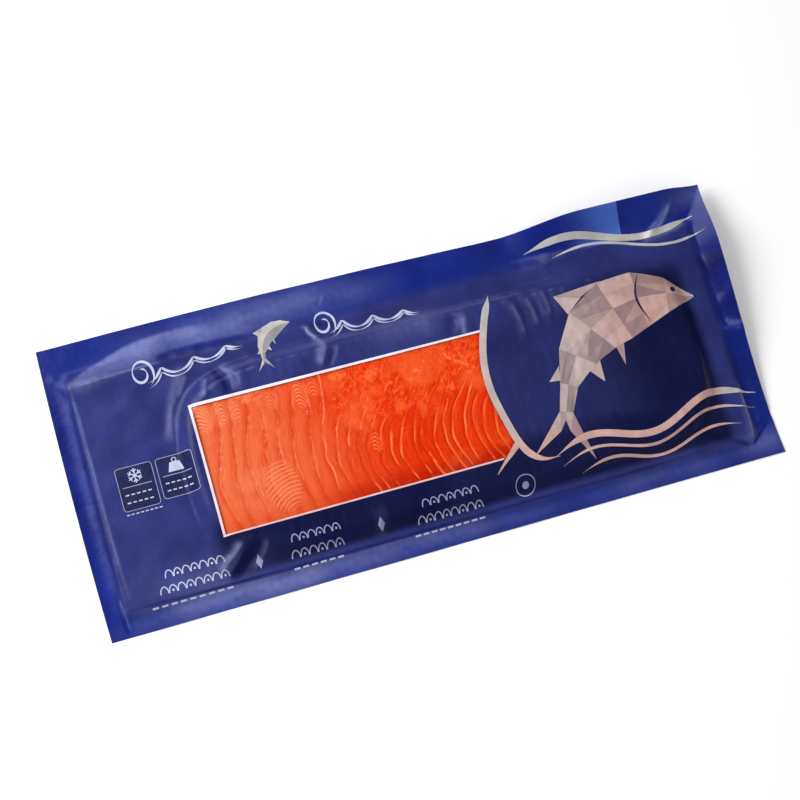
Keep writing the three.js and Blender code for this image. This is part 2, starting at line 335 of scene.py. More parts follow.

# Folds of the film with painted highlights where they would catch the light and painted shade in them: a line
# of places, how far the tone spreads to its left and to its right, and its strength, a painted highlight
# above nothing and painted shade below it.
FOLDS = (
    (((-283, 88), (-268, 98), (-248, 105), (-225, 112), (-190, 115), (-150, 114)), 1.3, 7, 0.34),
    (((-282, 86.5), (-259, 88.2), (-239, 89.4), (-200, 90)), 0.9, 0.7, 0.44),
    (((-210, 94), (-170, 95), (-120, 91)), 3.5, 4.5, -0.45),
    (((-281.5, 88), (-280.5, 40), (-280, -20), (-279, -70), (-277, -103)), 1.0, 1.4, 0.32),
    (((-284.5, 86), (-285.5, 20), (-285, -60), (-284, -106)), 2.4, 1.6, -0.55),
    (((-286, 92), (-290, 60), (-291.5, 0), (-291, -50)), 1.6, 2.0, 0.20),
    (((-300, 124), (-299, 60), (-298.5, -124)), 0.5, 3.6, -0.34),
    (((-290, -84), (-288, -104), (-286, -124)), 2.6, 1.0, -0.50),
    (((-286, -92), (-284.5, -108), (-283, -122)), 0.8, 1.8, 0.34),
    (((-187, 74), (-194, 62), (-199, 56)), 1.4, 3.4, 0.26),
    (((-198, 60), (-206, 48), (-210, 34), (-212, 18)), 1.2, 3.2, 0.22),
    (((-166, 76), (-161, 63), (-158, 55), (-158, 44)), 2.4, 3.0, -1.0),
    (((-171, 68), (-174, 59), (-177, 48)), 1.0, 4.5, 0.34),
    (((-160, 76), (-154, 66), (-152, 57), (-153, 46)), 7.0, 0.9, 0.30),
    (((-158, 73), (-150, 66), (-145, 58), (-147, 50)), 1.0, 1.6, 0.22),
    (((-78, 89), (-76.5, 83), (-71, 77)), 0.9, 1.1, 0.90),
    (((-74, 80), (-69, 74), (-67.5, 67), (-71, 59), (-76, 49)), 1.0, 5.0, 0.40),
    (((-64, 64), (-67, 56), (-73, 48)), 2.4, 1.4, -0.60),
    (((-74, 91), (-62, 87), (-45, 80)), 2.0, 2.6, -0.40),
    (((-56, 66), (-60, 57), (-67, 47)), 1.0, 3.4, 0.24),
    (((-55, 114), (-58, 109), (-61, 106)), 1.2, 1.4, 0.26),
    (((-196, 88), (-170, 85), (-140, 79)), 3.5, 3.5, -0.40),
    (((56, 63), (53, 50), (52, 34)), 1.5, 2.2, 0.26),
    (((44, 66), (41, 52), (40, 38)), 2.5, 2.5, -0.40),
    (((-178, -76), (-185, -82), (-195, -90), (-203, -97)), 1.0, 4.0, 0.42),
    (((-166, -76), (-178, -88), (-196, -104)), 3.6, 2.6, -0.44),
    (((-158, -80), (-164, -90), (-176, -101)), 1.2, 3.0, 0.16),
    (((-279, -105), (-200, -107), (-60, -107.5), (60, -107), (200, -107), (262, -104)), 1.0, 0.8, -0.66),
    (((-281, -107), (-200, -108.8), (-60, -109.2), (40, -109)), 0.5, 8.0, 0.22),
    (((268, 116), (258, 102), (243, 91)), 1.4, 1.2, 0.45),
    (((232, 89), (256, 92), (284, 96)), 1.4, 3.0, 0.22),
    (((262, 84), (272, 76), (282, 70)), 3, 4, -0.30),
    (((279, -6), (288, -8), (296, -12)), 2.5, 2.8, 0.30),
    (((230, -90), (252, -102), (273, -113)), 1.4, 1.4, -0.50),
    (((273, -113), (286, -102), (298, -90)), 1.2, 1.2, -0.45),
    (((277, -56), (276.5, -86), (273.5, -112)), 0.9, 0.9, 0.55),
    (((100, 64), (103, 48), (104, 30)), 1.2, 2.4, 0.22),
    (((114, 66), (117, 50), (117, 36)), 1.2, 2.6, 0.22),
    (((129, 68), (131, 52), (130, 42)), 1.2, 2.2, 0.18),
    (((146, 66), (149, 54), (150, 44)), 1.2, 2.2, 0.14),
)
FOLD_STEPS = 23
FOLD_FADE = 0.22  # share of a fold's length over which its ends fade
FOLD_SPREAD = 2.2  # the tone is followed this many times its spread aside
CREASE_HIGHLIGHT, CREASE_HIGHLIGHT_FULL = 0.25, 2.0  # painted highlight on a crease's ridge, full where it is this high
PAINTED_LIGHT_LEVEL, PAINTED_LIGHT_WAVES = 0.85, ((0.25, (38, 51)), (0.12, (9, 52)))  # how strong the painted sheen and shade are, unevenly


def fish_shade(x, y):
    """How much of the fish shows through the print as a darker ground: most at the right and the front."""
    turns = rise(x, *SHOWS_BACK_TURNS)
    back = [mix(left, right, turns) for left, right in zip(SHOWS_BACK_LEFT, SHOWS_BACK_RIGHT)]
    shown = rise(x, *SHOWS_LEFT) * rise(x, *SHOWS_RIGHT) * rise(y, *SHOWS_FRONT) * rise(y, *back)
    deep = np.maximum(rise(x, *SHOWS_DEEP_RIGHT), rise(y, *SHOWS_DEEP_FRONT))
    return shown * mix(SHOWS_LEAST, 1, deep)


def through(points):
    """A smooth path through points, taken evenly along its length and straight on beyond its ends."""
    knots = np.array(points, dtype=float)
    knots = np.vstack([2 * knots[0] - knots[1], knots, 2 * knots[-1] - knots[-2]])
    t = np.linspace(0, 1, 12, endpoint=False)[:, None]
    spans = [
        0.5 * (2 * b + (c - a) * t + (2 * a - 5 * b + 4 * c - d) * t**2 + (3 * b - 3 * c + d - a) * t**3)
        for a, b, c, d in zip(knots, knots[1:], knots[2:], knots[3:])
    ]
    curve = np.vstack([*spans, knots[-2]])
    run = np.concatenate([[0], np.cumsum(np.hypot(*np.diff(curve, axis=0).T))])
    run /= run[-1]
    start = (curve[1] - curve[0]) / run[1]
    end = (curve[-1] - curve[-2]) / (1 - run[-2])

    def path(s):
        before, after = np.minimum(s, 0), np.maximum(s - 1, 0)
        return tuple(np.interp(s, run, curve[:, i]) + before * start[i] + after * end[i] for i in (0, 1))

    return path


def fold_tone(x, y, points, left, right, strength):
    """The tone of one fold, falling away at its own rate to each side of its line."""
    line_x, line_y = through(points)(np.linspace(0, 1, FOLD_STEPS + 1))
    reach = FOLD_SPREAD * max(left, right)
    near = (x > line_x.min() - reach) & (x < line_x.max() + reach)
    near &= (y > line_y.min() - reach) & (y < line_y.max() + reach)
    px, py = x[near], y[near]
    closest = np.full(px.shape, np.inf)
    share = np.zeros(px.shape)
    for i, (dx, dy) in enumerate(zip(np.diff(line_x), np.diff(line_y))):
        along = clamp01(((px - line_x[i]) * dx + (py - line_y[i]) * dy) / (dx * dx + dy * dy))
        gap_x, gap_y = px - line_x[i] - along * dx, py - line_y[i] - along * dy
        aside = np.hypot(gap_x, gap_y) / np.where(dx * gap_y - dy * gap_x > 0, left, right)
        share = np.where(aside < closest, (i + along) / FOLD_STEPS, share)
        closest = np.minimum(aside, closest)
    ends = smooth(share / FOLD_FADE + 0.15) * smooth((1 - share) / FOLD_FADE)
    tone = np.zeros_like(x)
    tone[near] = strength * np.exp(-(closest**2)) * ends
    return tone


def haze(x, y):
    """Painted sheen on the film's creases, folds and broad areas, and painted shade where the tone is below
    nothing.
    """
    tone = CREASE_HIGHLIGHT * clamp01(crease_relief(x, y) / CREASE_HIGHLIGHT_FULL) ** 1.2
    for (centre_x, centre_y), along, across, strength in PAINTED_LIGHT_AREAS:
        tone = tone + strength * np.exp(-(((x - centre_x) / along) ** 2) - ((y - centre_y) / across) ** 2)
    for fold in FOLDS:
        tone = tone + fold_tone(x, y, *fold)
    return np.clip(tone * uneven(x, y, PAINTED_LIGHT_LEVEL, PAINTED_LIGHT_WAVES), -1, 1)


# ---- Meshes ----


def read(parts, name, width, kind=float):
    """One property of all the vertices, edges or faces of a mesh, with width numbers for each."""
    values = np.empty(len(parts) * width, dtype=kind)
    parts.foreach_get(name, values)
    return values.reshape(-1, width)


def start_piece(name, columns, rows):
    """Adds a grid of columns by rows faces and gives it with each vertex's place in it, from 0 to 1."""
    bpy.ops.object.select_all(action="DESELECT")
    bpy.ops.mesh.primitive_grid_add(x_subdivisions=columns, y_subdivisions=rows, size=1)
    piece = bpy.context.object
    piece.name = name
    piece.data.name = name
    s, t, _ = (read(piece.data.vertices, "co", 3) + 0.5).T
    return piece, s, t


def places_of(piece):
    """Each vertex's place in millimetres."""
    return (read(piece.data.vertices, "co", 3) / MM).T


def place_vertices(piece, x, y, z):
    """Moves the vertices to places given in millimetres."""
    piece.data.vertices.foreach_set("co", np.stack([x, y, z], axis=1).ravel() * MM)
    piece.data.update()


def set_masks(piece, **masks):
    """Stores numbers for each vertex, for the materials."""
    for name, values in masks.items():
        mask = piece.data.attributes.new(name, "FLOAT", "POINT")
        mask.data.foreach_set("value", np.full(len(piece.data.vertices), values, dtype=np.float32))


def only(piece):
    bpy.ops.object.select_all(action="DESELECT")
    piece.select_set(True)
    bpy.context.view_layer.objects.active = piece


def reshape(piece, operate, faces=None, edges=None):
    """Runs operate on a piece in edit mode, with the given faces or edges selected, or else all of it."""
    only(piece)
    mesh = piece.data
    whole = faces is None and edges is None
    for parts, chosen in ((mesh.vertices, None), (mesh.edges, edges), (mesh.polygons, faces)):
        parts.foreach_set("select", np.full(len(parts), whole) if chosen is None else chosen)
    bpy.context.tool_settings.mesh_select_mode = (whole, edges is not None, faces is not None)
    bpy.ops.object.mode_set(mode="EDIT")
    operate()
    bpy.ops.object.mode_set(mode="OBJECT")


def delete_faces(piece, chosen):
    """Deletes the faces for which chosen, a function of their centres' x and y in millimetres, is true."""
    centres = read(piece.data.polygons, "center", 3) / MM
    reshape(piece, lambda: bpy.ops.mesh.delete(type="FACE"), faces=chosen(centres[:, 0], centres[:, 1]))


def weld(piece):
    """Merges the vertices that lie on each other."""
    reshape(piece, lambda: bpy.ops.mesh.remove_doubles(threshold=0.002 * MM))


def turn_upwards(piece):
    """Turns over the faces of a sheet that face down."""
    piece.data.update()
    down = read(piece.data.polygons, "normal", 3)[:, 2] < 0
    if down.any():
        reshape(piece, bpy.ops.mesh.flip_normals, faces=down)


def turn_rim_down(film, s, t, depth):
    """Gives a film's grid a wall along its outer sides, straight down."""
    a, b = read(film.data.edges, "vertices", 2, int).T
    on_side = [np.maximum(abs(p[a] - side), abs(p[b] - side)) < 1e-4 for p in (s, t) for side in (0, 1)]
    down = {"value": (0, 0, -depth * MM)}
    extrude = functools.partial(bpy.ops.mesh.extrude_region_move, TRANSFORM_OT_translate=down)
    reshape(film, extrude, edges=np.any(on_side, axis=0))
    # The new faces are in another order each run, so that of all the faces is set.
    by_distance = {"type": "CURSOR_DISTANCE", "elements": {"FACE"}}
    reshape(film, functools.partial(bpy.ops.mesh.sort_elements, **by_distance))


def finish_piece(piece, material, replaced=(), crease_angle=60):
    """Shades a piece, gives it its material and sets it on the pouch's one body."""
    only(piece)
    bpy.ops.object.shade_smooth_by_angle(angle=math.radians(crease_angle))
    piece.data.materials.clear()
    piece.data.materials.append(material)
    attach(piece, "root")
    if replaced:
        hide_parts(*replaced)


# ---- Flat shapes for the print ----

INK_RAISED = 0.16  # the print lies this far above the film, clear of its facets
INK_CELL = 1.6  # greatest size of a face of the print
INK_LAYERS, INK_LAYER = 8, 0.015  # strokes that cross lie this much over each other
PATH_STEP = 0.001  # share of a path over which its direction is taken


def ribbon(path, width, columns=None, rows=1, tone=1.0):
    """A band along a path. path(s) gives x and y for s from 0 to 1, and width is a number or depends on s."""
    if not columns:
        run = np.hypot(*np.diff(path(np.linspace(0, 1, 200)))).sum()
        columns = max(4, round(run / INK_CELL))
    piece, s, t = start_piece("ribbon", columns, rows)
    x, y = path(s)
    dx, dy = np.subtract(path(s + PATH_STEP), path(s - PATH_STEP))
    aside = (t - 0.5) * (width(s) if callable(width) else width) / np.hypot(dx, dy)
    place_vertices(piece, x - dy * aside, y + dx * aside, 0 * s)
    set_masks(piece, tone=tone)
    return piece


def straight(start, end):
    return lambda s: (mix(start[0], end[0], s), mix(start[1], end[1], s))


def line(start, end, width, tone=1.0):
    return ribbon(straight(start, end), width, tone=tone)


def patch(points, tone=1.0):
    """A flat shape with its corners in turn round it, meshed as rings round its middle."""
    middle = np.mean(points, axis=0)
    rim = []
    for start, end in zip(points, (*points[1:], points[0])):
        steps = max(1, round(math.dist(start, end) / INK_CELL))
        rim += [straight(start, end)(i / steps) for i in range(steps)]
    rim = np.array([*rim, rim[0]])
    reach = np.hypot(*(rim - middle).T).max()
    piece, s, t = start_piece("patch", len(rim) - 1, max(1, round(reach / INK_CELL)))
    x, y = mix(middle, rim[np.rint(s * (len(rim) - 1)).astype(int)], t[:, None]).T
    place_vertices(piece, x, y, 0 * s)
    weld(piece)
    set_masks(piece, tone=tone)
    return piece


def polar(centre, radius, angle):
    """The point at a distance from a centre, at an angle in radians."""
    return centre[0] + radius * np.cos(angle), centre[1] + radius * np.sin(angle)


def disc(centre, radius, sides=20):
    return patch([polar(centre, radius, math.tau * i / sides) for i in range(sides)])


def ring(centre, radius, width):
    """A closed band round a centre."""
    piece = ribbon(lambda s: polar(centre, radius, math.tau * s), width)
    weld(piece)
    return piece


def taper(s, start, end, tip):
    """One along a stroke and tip at its ends, which narrow over the shares start and end."""
    return tip + (1 - tip) * smooth(s / start) * smooth((1 - s) / end)


def print_on_film(name, shapes, ink_name, raised=INK_RAISED, height=film_height):
    """Joins flat shapes into one piece of print and lays it on the film, each shape a hair over the last."""
    for i, shape in enumerate(shapes):
        x, y, _ = places_of(shape)
        place_vertices(shape, x, y, 0 * x + i % INK_LAYERS * INK_LAYER)
    piece = shapes[0]
    only(piece)
    for shape in shapes:
        shape.select_set(True)
    if len(shapes) > 1:
        bpy.ops.object.join()
    piece.name = name
    piece.data.name = name
    x, y, layer = places_of(piece)
    place_vertices(piece, x, y, height(x, y) + raised + layer)
    turn_upwards(piece)
    set_masks(piece, fish_shade=fish_shade(x, y))
    finish_piece(piece, ink(ink_name))


# ---- Materials ----


def srgb(*rgb):
    """A display colour from 0 to 255 as the linear colour that the nodes take."""
    return tuple(((c / 255 + 0.055) / 1.055) ** 2.4 if c > 10 else c / 255 / 12.92 for c in rgb)


WHITE = (1.0, 1.0, 1.0)


class Output:
    """A node's output. Arithmetic with it makes a Math node and gives that node's output."""

    def __init__(self, wires, socket):
        self.wires = wires
        self.socket = socket

    def __add__(self, other):
        return self.wires.math("ADD", self, other)

    def __sub__(self, other):
        return self.wires.math("SUBTRACT", self, other)

    def __rsub__(self, other):
        return self.wires.math("SUBTRACT", other, self)

    def __mul__(self, other):
        return self.wires.math("MULTIPLY", self, other)

    def __truediv__(self, other):
        return self.wires.math("DIVIDE", self, other)


class Wiring:
    """Adds nodes to one node tree. Most of its methods give back an Output."""

    def __init__(self, tree):
        self.tree = tree

    def feed(self, socket, value):
        if isinstance(value, Output):
            self.tree.links.new(value.socket, socket)
        else:
            socket.default_value = (*value, 1) if socket.type == "RGBA" else value

    def node(self, kind, *inputs, settings=(), output=0, **named):
        """A new node's output. The node's inputs are given in turn or by name."""
        made = self.tree.nodes.new(kind)
        for key, value in dict(settings).items():
            setattr(made, key, value)
        for socket, value in zip(made.inputs, inputs):
            self.feed(socket, value)
        for name, value in named.items():
            self.feed(made.inputs[name.replace("_", " ")], value)
        return Output(self, made.outputs[output])

    def math(self, operation, *values, clamp=False):
        return self.node("ShaderNodeMath", *values, settings={"operation": operation, "use_clamp": clamp})

    def most(self, *values):
        return functools.reduce(functools.partial(self.math, "MAXIMUM"), values)

    def level(self, factor, low, high):
        """The number low where factor is 0 and high where it is 1."""
        return self.math("MULTIPLY_ADD", factor, high - low, low)

    def between(self, value, start, full):
        """0 at start and 1 at full, smooth between them and level beyond."""
        ends = (start, full, 0, 1) if start < full else (full, start, 1, 0)
        return self.node("ShaderNodeMapRange", value, *ends, settings={"interpolation_type": "SMOOTHSTEP"})

    def colour(self, factor, a, b, blend="MIX"):
        """The colour a where factor is 0, and b, or a blended with b, where it is 1."""
        settings = {"data_type": "RGBA", "blend_type": blend}
        mixed = self.node("ShaderNodeMix", factor, settings=settings, output=2)
        for place, value in ((6, a), (7, b)):
            self.feed(mixed.socket.node.inputs[place], value)
        return mixed

    def noise(self, vector, scale, detail=2.0, roughness=0.5, distortion=0.0):
        values = {"Scale": scale, "Detail": detail, "Roughness": roughness, "Distortion": distortion}
        return self.node("ShaderNodeTexNoise", Vector=vector, **values)

    def mask(self, name):
        return self.node("ShaderNodeAttribute", settings={"attribute_name": name}, output="Fac")

    def place(self):
        return self.node("ShaderNodeTexCoord", output="Object")

    def parts(self, vector):
        """The three numbers of a vector."""
        made = self.node("ShaderNodeSeparateXYZ", vector)
        return [Output(self, socket) for socket in made.socket.node.outputs]


def shader_group(name, colours, outputs):
    """A new node group that takes colours and gives outputs, which are names with their kinds of socket."""
    tree = bpy.data.node_groups.new(name, "ShaderNodeTree")
    for label in colours:
        tree.interface.new_socket(name=label, in_out="INPUT", socket_type="NodeSocketColor")
    for label, kind in outputs.items():
        tree.interface.new_socket(name=label, in_out="OUTPUT", socket_type="NodeSocket" + kind)
    wires = Wiring(tree)
    entry = {socket.name: Output(wires, socket) for socket in tree.nodes.new("NodeGroupInput").outputs}
    return wires, entry, tree.nodes.new("NodeGroupOutput").inputs


def use_group(wires, name, colours=None):
    """Places a node group. Each colour that it takes is the setting of the same name."""
    made = wires.tree.nodes.new("ShaderNodeGroup")
    made.node_tree = bpy.data.node_groups[name]
    for socket in made.inputs:
        wires.feed(socket, getattr(colours, socket.name.lower().replace(" ", "_")))
    return {socket.name: Output(wires, socket) for socket in made.outputs}


def new_material(name, **plain):
    """A material with plain values on its shader's own sockets."""
    material = bpy.data.materials.new(name)
    material.use_nodes = True
    wires = Wiring(material.node_tree)
    shader = material.node_tree.nodes["Principled BSDF"].inputs
    for key, value in plain.items():
        wires.feed(shader[key.replace("_", " ")], value)
    return material, wires, shader


def give_surface(wires, shader, roughness, height, distance):
    """Feeds the shader a roughness and a bump, whose distance is in millimetres."""
    wires.feed(shader["Roughness"], roughness)
    wires.feed(shader["Normal"], wires.node("ShaderNodeBump", Height=height, Distance=distance * MM))


SEAL_RIGHT, SEAL_PITCH = -294, 2.2  # the left end's heat seal runs from the edge to here, in fine ribs
PATCH_LEFT, PATCH_RIGHT, PATCH_FRONT = 160, 217.5, 93  # a lighter patch on the far rim
FILM_BUMP = 0.35
ROUGHNESS_SPREAD = 0.12


def film_surface_group():
    """The film's own fine relief and uneven gloss, the same over bare film and over ink."""
    wires, _, leave = shader_group("film_surface", (), {"Height": "Float", "Roughness Share": "Float"})
    place = wires.place()
    x = wires.parts(place)[0]
    ribs = wires.math("SINE", x * (math.tau / (SEAL_PITCH * MM)))
    sealed = wires.between(x, (SEAL_RIGHT + 1) * MM, SEAL_RIGHT * MM)
    fine = wires.noise(place, 260, 3.0, 0.55)
    broad = wires.noise(place, 55)
    wires.feed(leave["Height"], fine * 0.35 + broad + ribs * sealed * 0.05)
    wires.feed(leave["Roughness Share"], wires.between(wires.noise(place, 18, 3.0), 0.3, 0.7))


def film_tint_group():
    """The see-through blue ink's colour, by what lies under the film, with painted sheen and painted shade on
    it.
    """
    colours = ("Rim", "Card", "Fish", "Patch", "Haze")
    wires, entry, leave = shader_group("film_tint", colours, {"Colour": "Color"})
    place = wires.place()
    x, y, _ = wires.parts(place)
    tint = wires.colour(wires.mask("over_card"), entry["Rim"], entry["Card"])
    tint = wires.colour(wires.mask("fish_shade"), tint, entry["Fish"])
    along = wires.between(x, PATCH_LEFT * MM, PATCH_RIGHT * MM) * wires.math("LESS_THAN", x, PATCH_RIGHT * MM)
    across = wires.between(y, PATCH_FRONT * MM, (PATCH_FRONT + 3) * MM)
    tint = wires.colour(along * across, tint, entry["Patch"])
    mottle = wires.between(wires.noise(place, 26, 4.0, 0.6), 0.25, 0.75)
    tint = wires.colour(1.0, tint, wires.colour(mottle, srgb(205, 205, 215), WHITE), "MULTIPLY")
    # painted shade, from the depth mask, where the painted light is below nothing
    tint = wires.colour(wires.mask("depth"), tint, srgb(104, 112, 182), "MULTIPLY")
    # painted sheen on the film's creases, folds and broad areas
    tint = wires.colour(wires.mask("haze"), tint, entry["Haze"])
    wires.feed(leave["Colour"], tint)


def salmon_group():
    """The cut face of smoked salmon: pale lines of fat, grooves of painted shade, arcs, swirls and lengthwise
    grain.
    """
    colours = ("Left Flesh", "Right Flesh", "Left Groove", "Right Groove", "Left Fat", "Right Fat")
    outputs = {"Colour": "Color", "Height": "Float", "Fat": "Float"}
    wires, entry, leave = shader_group("salmon_flesh", colours, outputs)
    between, level, most, noise = wires.between, wires.level, wires.most, wires.noise
    place = wires.place()
    redness, blotchy, edged = wires.mask("redness"), wires.mask("blotchy"), wires.mask("edged")
    inward = wires.mask("inward")  # millimetres in from the slice's visible edge
    across = wires.mask("across")
    tone = wires.mask("tone")
    # painted shade by the near edge
    front_shade = wires.mask("front_shade")

    wander = noise(place, 75, 3.0, 0.6)
    broad = noise(place, 30, 3.0, 0.6)
    swirl = noise(place, 105, 4.0, 0.65, 1.8)
    along = wires.mask("along") * 0.05
    lengthwise = wires.node("ShaderNodeCombineXYZ", inward * 0.5, along, tone * 9)
    grain = noise(lengthwise, 1.5, 4.0, 0.62)
    short = wires.node("ShaderNodeCombineXYZ", inward * 0.36, along * 3.6, tone * 9)
    strokes = noise(short, 0.95, 2.0, 0.5, 1.0)
    flesh, groove_colour, fat_colour = (
        wires.colour(redness, entry["Left " + part], entry["Right " + part])
        for part in ("Flesh", "Groove", "Fat")
    )

    # Deeper colour: painted shade by each slice's edge and by the near edge, real darker flesh in grain and
    # blotches.
    edge_in = inward + (wander - 0.5) * 3.4
    before = between(across + wander * 0.4, 0.84, 1.24) * level(redness, 0.18, 0.8)
    after = between(edge_in, 6.0, 3.4) * between(edge_in, 2.2, 3.0) * edged * 0.55
    parted = between(inward + (wander - 0.5) * 1.4, 1.5, 0.7) * level(redness, 1.1, 0.0)
    groove = most(most(before, after) * level(blotchy, 1.0, 0.15), parted)
    strands = between(grain, 0.52, 0.32) * level(redness, 0.8, 0.6)
    blots = between(swirl, 0.47, 0.30) * level(blotchy, 0.15, 0.55)
    dashes_of_red = between(strokes, 0.47, 0.32) * level(blotchy, 0.12, 0.65)
    deep = most(groove, strands, blots, dashes_of_red, front_shade)

    # Paler flesh: streaks along the slice, soft clouds and pale spots; on the left slices a painted highlight
    # band.
    streaks = between(grain, 0.50, 0.74) * level(redness, 0.5, 0.04)
    bloom = between(broad, 0.46, 0.68) * level(redness, 0.55, -0.12)
    cloud = between(swirl, 0.50, 0.66) * level(blotchy, 0.05, 0.50)
    soft = between(noise(place, 42), 0.44, 0.64) * level(blotchy, 0.0, 0.45)
    pale_strokes = between(strokes, 0.50, 0.68) * level(blotchy, 0.06, 0.60)
    band = between(across, 0.0, 0.3) * between(across, 1.0, 0.5) * level(redness, 0.42, 0.0)
    veil = most(streaks, bloom, cloud, soft, pale_strokes, band) * level(front_shade, 1.0, 0.15)
    veil = most(veil, wires.mask("pale") * between(swirl, 0.34, 0.56))

    # The line of fat along the slice's edge, wavering and broken, and a fainter one inside some slices.
    from_edge = edge_in / level(between(noise(place, 52), 0.30, 0.66), 0.7, 1.25)
    thin = between(from_edge, 2.6, 1.0) * between(from_edge, -0.4, 0.9)
    thin = thin * between(noise(place, 46, 3.0), 0.43, 0.55) * edged * level(tone, 0.5, 1.1)
    second_in = inward + (broad - 0.5) * 11.0
    second = between(second_in, 6.1, 5.2) * between(second_in, 4.0, 4.8)
    second = second * between(noise(place, 33), 0.52, 0.64) * (1 - blotchy) * level(redness, 0.4, 0.2)

    # Nested arcs of fat, then curls and flecks where the slices' lines give way, and one seam.
    phase = wires.mask("arc_phase") + wander * 1.3
    arcs = between(wires.math("SINE", phase * math.tau), 0.1, 0.95) * wires.mask("arced")
    turn = wires.math("ABSOLUTE", noise(place, 50, 2.0, 0.55, 1.4) - 0.5)
    curls = between(turn, 0.050, 0.006) * between(wander, 0.46, 0.62) * 0.6
    flecks = between(noise(place, 170, 2.0, 0.6), 0.60, 0.74) * between(broad, 0.40, 0.58)
    marbled = most(curls, flecks) * level(blotchy, 0.16, 0.85)
    seam = wires.mask("seam") * between(swirl, 0.36, 0.54)

    fat = most(thin, second, arcs, marbled, seam)
    fat = wires.math("MAXIMUM", fat, veil * level(redness, 0.50, 0.70), clamp=True)
    wires.feed(leave["Colour"], wires.colour(fat, wires.colour(deep, flesh, groove_colour), fat_colour))
    wires.feed(leave["Height"], fat * 0.5 + grain * 0.6)
    wires.feed(leave["Fat"], fat)


def shared_groups():
    """Makes the node groups that the materials use, once."""
    if "film_surface" not in bpy.data.node_groups:
        film_surface_group()
        film_tint_group()
        salmon_group()


def printed_film_material(colours):
    material, wires, shader = new_material("printed_film", Specular_IOR_Level=0.35)
    wires.feed(shader["Base Color"], use_group(wires, "film_tint", colours)["Colour"])
    surface = use_group(wires, "film_surface")
    roughness = wires.level(surface["Roughness Share"], 0.20, 0.20 + ROUGHNESS_SPREAD)
    give_surface(wires, shader, roughness, surface["Height"], FILM_BUMP)
    return material


# Each ink's bright and dull tone, both as settings for it over the card and over the fish, then how metallic
# and how rough it is.
INKS = {
    "frame_ink": (("frame", "frame_over_fish"), ("frame", "frame_over_fish"), 0.0, 0.36),
    "cool_ink": (("cool", "cool_over_fish"), ("cool_dull", "cool_dull"), 0.1, 0.36),
    "silver_ink": (("silver", "rose"), ("silver_shade", "rose_shade"), 0.3, 0.36),
    "navy_ink": (("box_fill", "box_fill"), ("box_fill", "box_fill"), 0.0, 0.3),
}


def ink(name):
    """One of the inks, made on first use."""
    if name in bpy.data.materials:
        return bpy.data.materials[name]
    *tones, metallic, rough = INKS[name]
    material, wires, shader = new_material(name, Metallic=metallic, Specular_IOR_Level=0.4)
    fish = wires.mask("fish_shade")
    settings = bpy.context.scene.salmon_print
    bright, dull = (wires.colour(fish, *(getattr(settings, key) for key in pair)) for pair in tones)
    tint = wires.colour(wires.mask("tone"), dull, bright)
    mottle = wires.between(wires.noise(wires.place(), 60, 4.0, 0.65), 0.25, 0.8)
    worn = wires.colour(mottle, srgb(226, 224, 224), WHITE)
    wires.feed(shader["Base Color"], wires.colour(1.0, tint, worn, "MULTIPLY"))
    surface = use_group(wires, "film_surface")
    roughness = wires.level(surface["Roughness Share"], rough, rough + ROUGHNESS_SPREAD)
    give_surface(wires, shader, roughness, surface["Height"], FILM_BUMP)
    return material


def clear_film_material():
    """Clear film: all but its reflections passes through."""
    material, wires, shader = new_material("clear_film", Base_Color=WHITE, Metallic=1.0)
    place = wires.place()
    wires.feed(shader["Alpha"], wires.math("MINIMUM", wires.node("ShaderNodeFresnel", IOR=1.5), 0.12))
    height = wires.noise(place, 330, 3.0, 0.6) * 0.5 + wires.noise(place, 95)
    give_surface(wires, shader, wires.level(wires.noise(place, 40), 0.06, 0.16), height, 0.5)
    return material


def salmon_material(colours):
    depth = {"Subsurface_Weight": 0.15, "Subsurface_Radius": (1.0, 0.3, 0.15), "Subsurface_Scale": 1.6 * MM}
    material, wires, shader = new_material("salmon", Specular_IOR_Level=0.02, **depth)
    flesh = use_group(wires, "salmon_flesh", colours)
    wires.feed(shader["Base Color"], flesh["Colour"])
    give_surface(wires, shader, wires.level(flesh["Fat"], 0.34, 0.44), flesh["Height"], 0.25)
    return material


# ---- Settings ----


def colour_setting(name, description, *rgb):
    return bpy.props.FloatVectorProperty(
        name=name, description=description, default=srgb(*rgb), size=3, min=0, max=1, subtype="COLOR"
    )


def size_setting(name, description, size):
    return bpy.props.FloatProperty(name=name, description=description, default=size * MM, unit="LENGTH")


class SalmonFilmSettings(bpy.types.PropertyGroup):
    cell: size_setting("Cell", "Size of the printed film's grid", 1.25)
    rim: colour_setting("Over rim", "Blue film with only the sealed back under it", 19, 37, 124)
    card: colour_setting("Over card", "Blue film over the card", 44, 50, 113)
    fish: colour_setting("Over fish", "Blue film over the fish", 17, 21, 66)
    patch: colour_setting("Patch", "The lighter patch on the far rim", 72, 108, 196)
    # the colour of the painted sheen on the film's creases, folds and broad areas
    haze: colour_setting("Haze", "Film that is whitened by stretching", 140, 147, 200)


class SalmonSliceSettings(bpy.types.PropertyGroup):
    stations: bpy.props.IntProperty(name="Stations", description="Faces along a slice", default=88, min=8)
    columns: bpy.props.IntProperty(name="Columns", description="Faces across a slice", default=12, min=4)
    thickness: size_setting("Thickness", "Depth of a slice's shown body", 2.4)
    left_flesh: colour_setting("Left flesh", "Paler flesh at the left end", 218, 88, 40)
    right_flesh: colour_setting("Right flesh", "Redder flesh at the right end", 228, 51, 2)
    # The groove colours are painted shade between the slices and by the near edge, and the darker flesh of
    # grain and blotches.
    left_groove: colour_setting("Left groove", "Between slices at the left end", 204, 56, 12)
    right_groove: colour_setting("Right groove", "Between slices at the right end", 186, 28, 0)
    left_fat: colour_setting("Left fat", "Fat lines at the left end", 250, 162, 122)
    right_fat: colour_setting("Right fat", "Fat lines at the right end", 254, 130, 62)


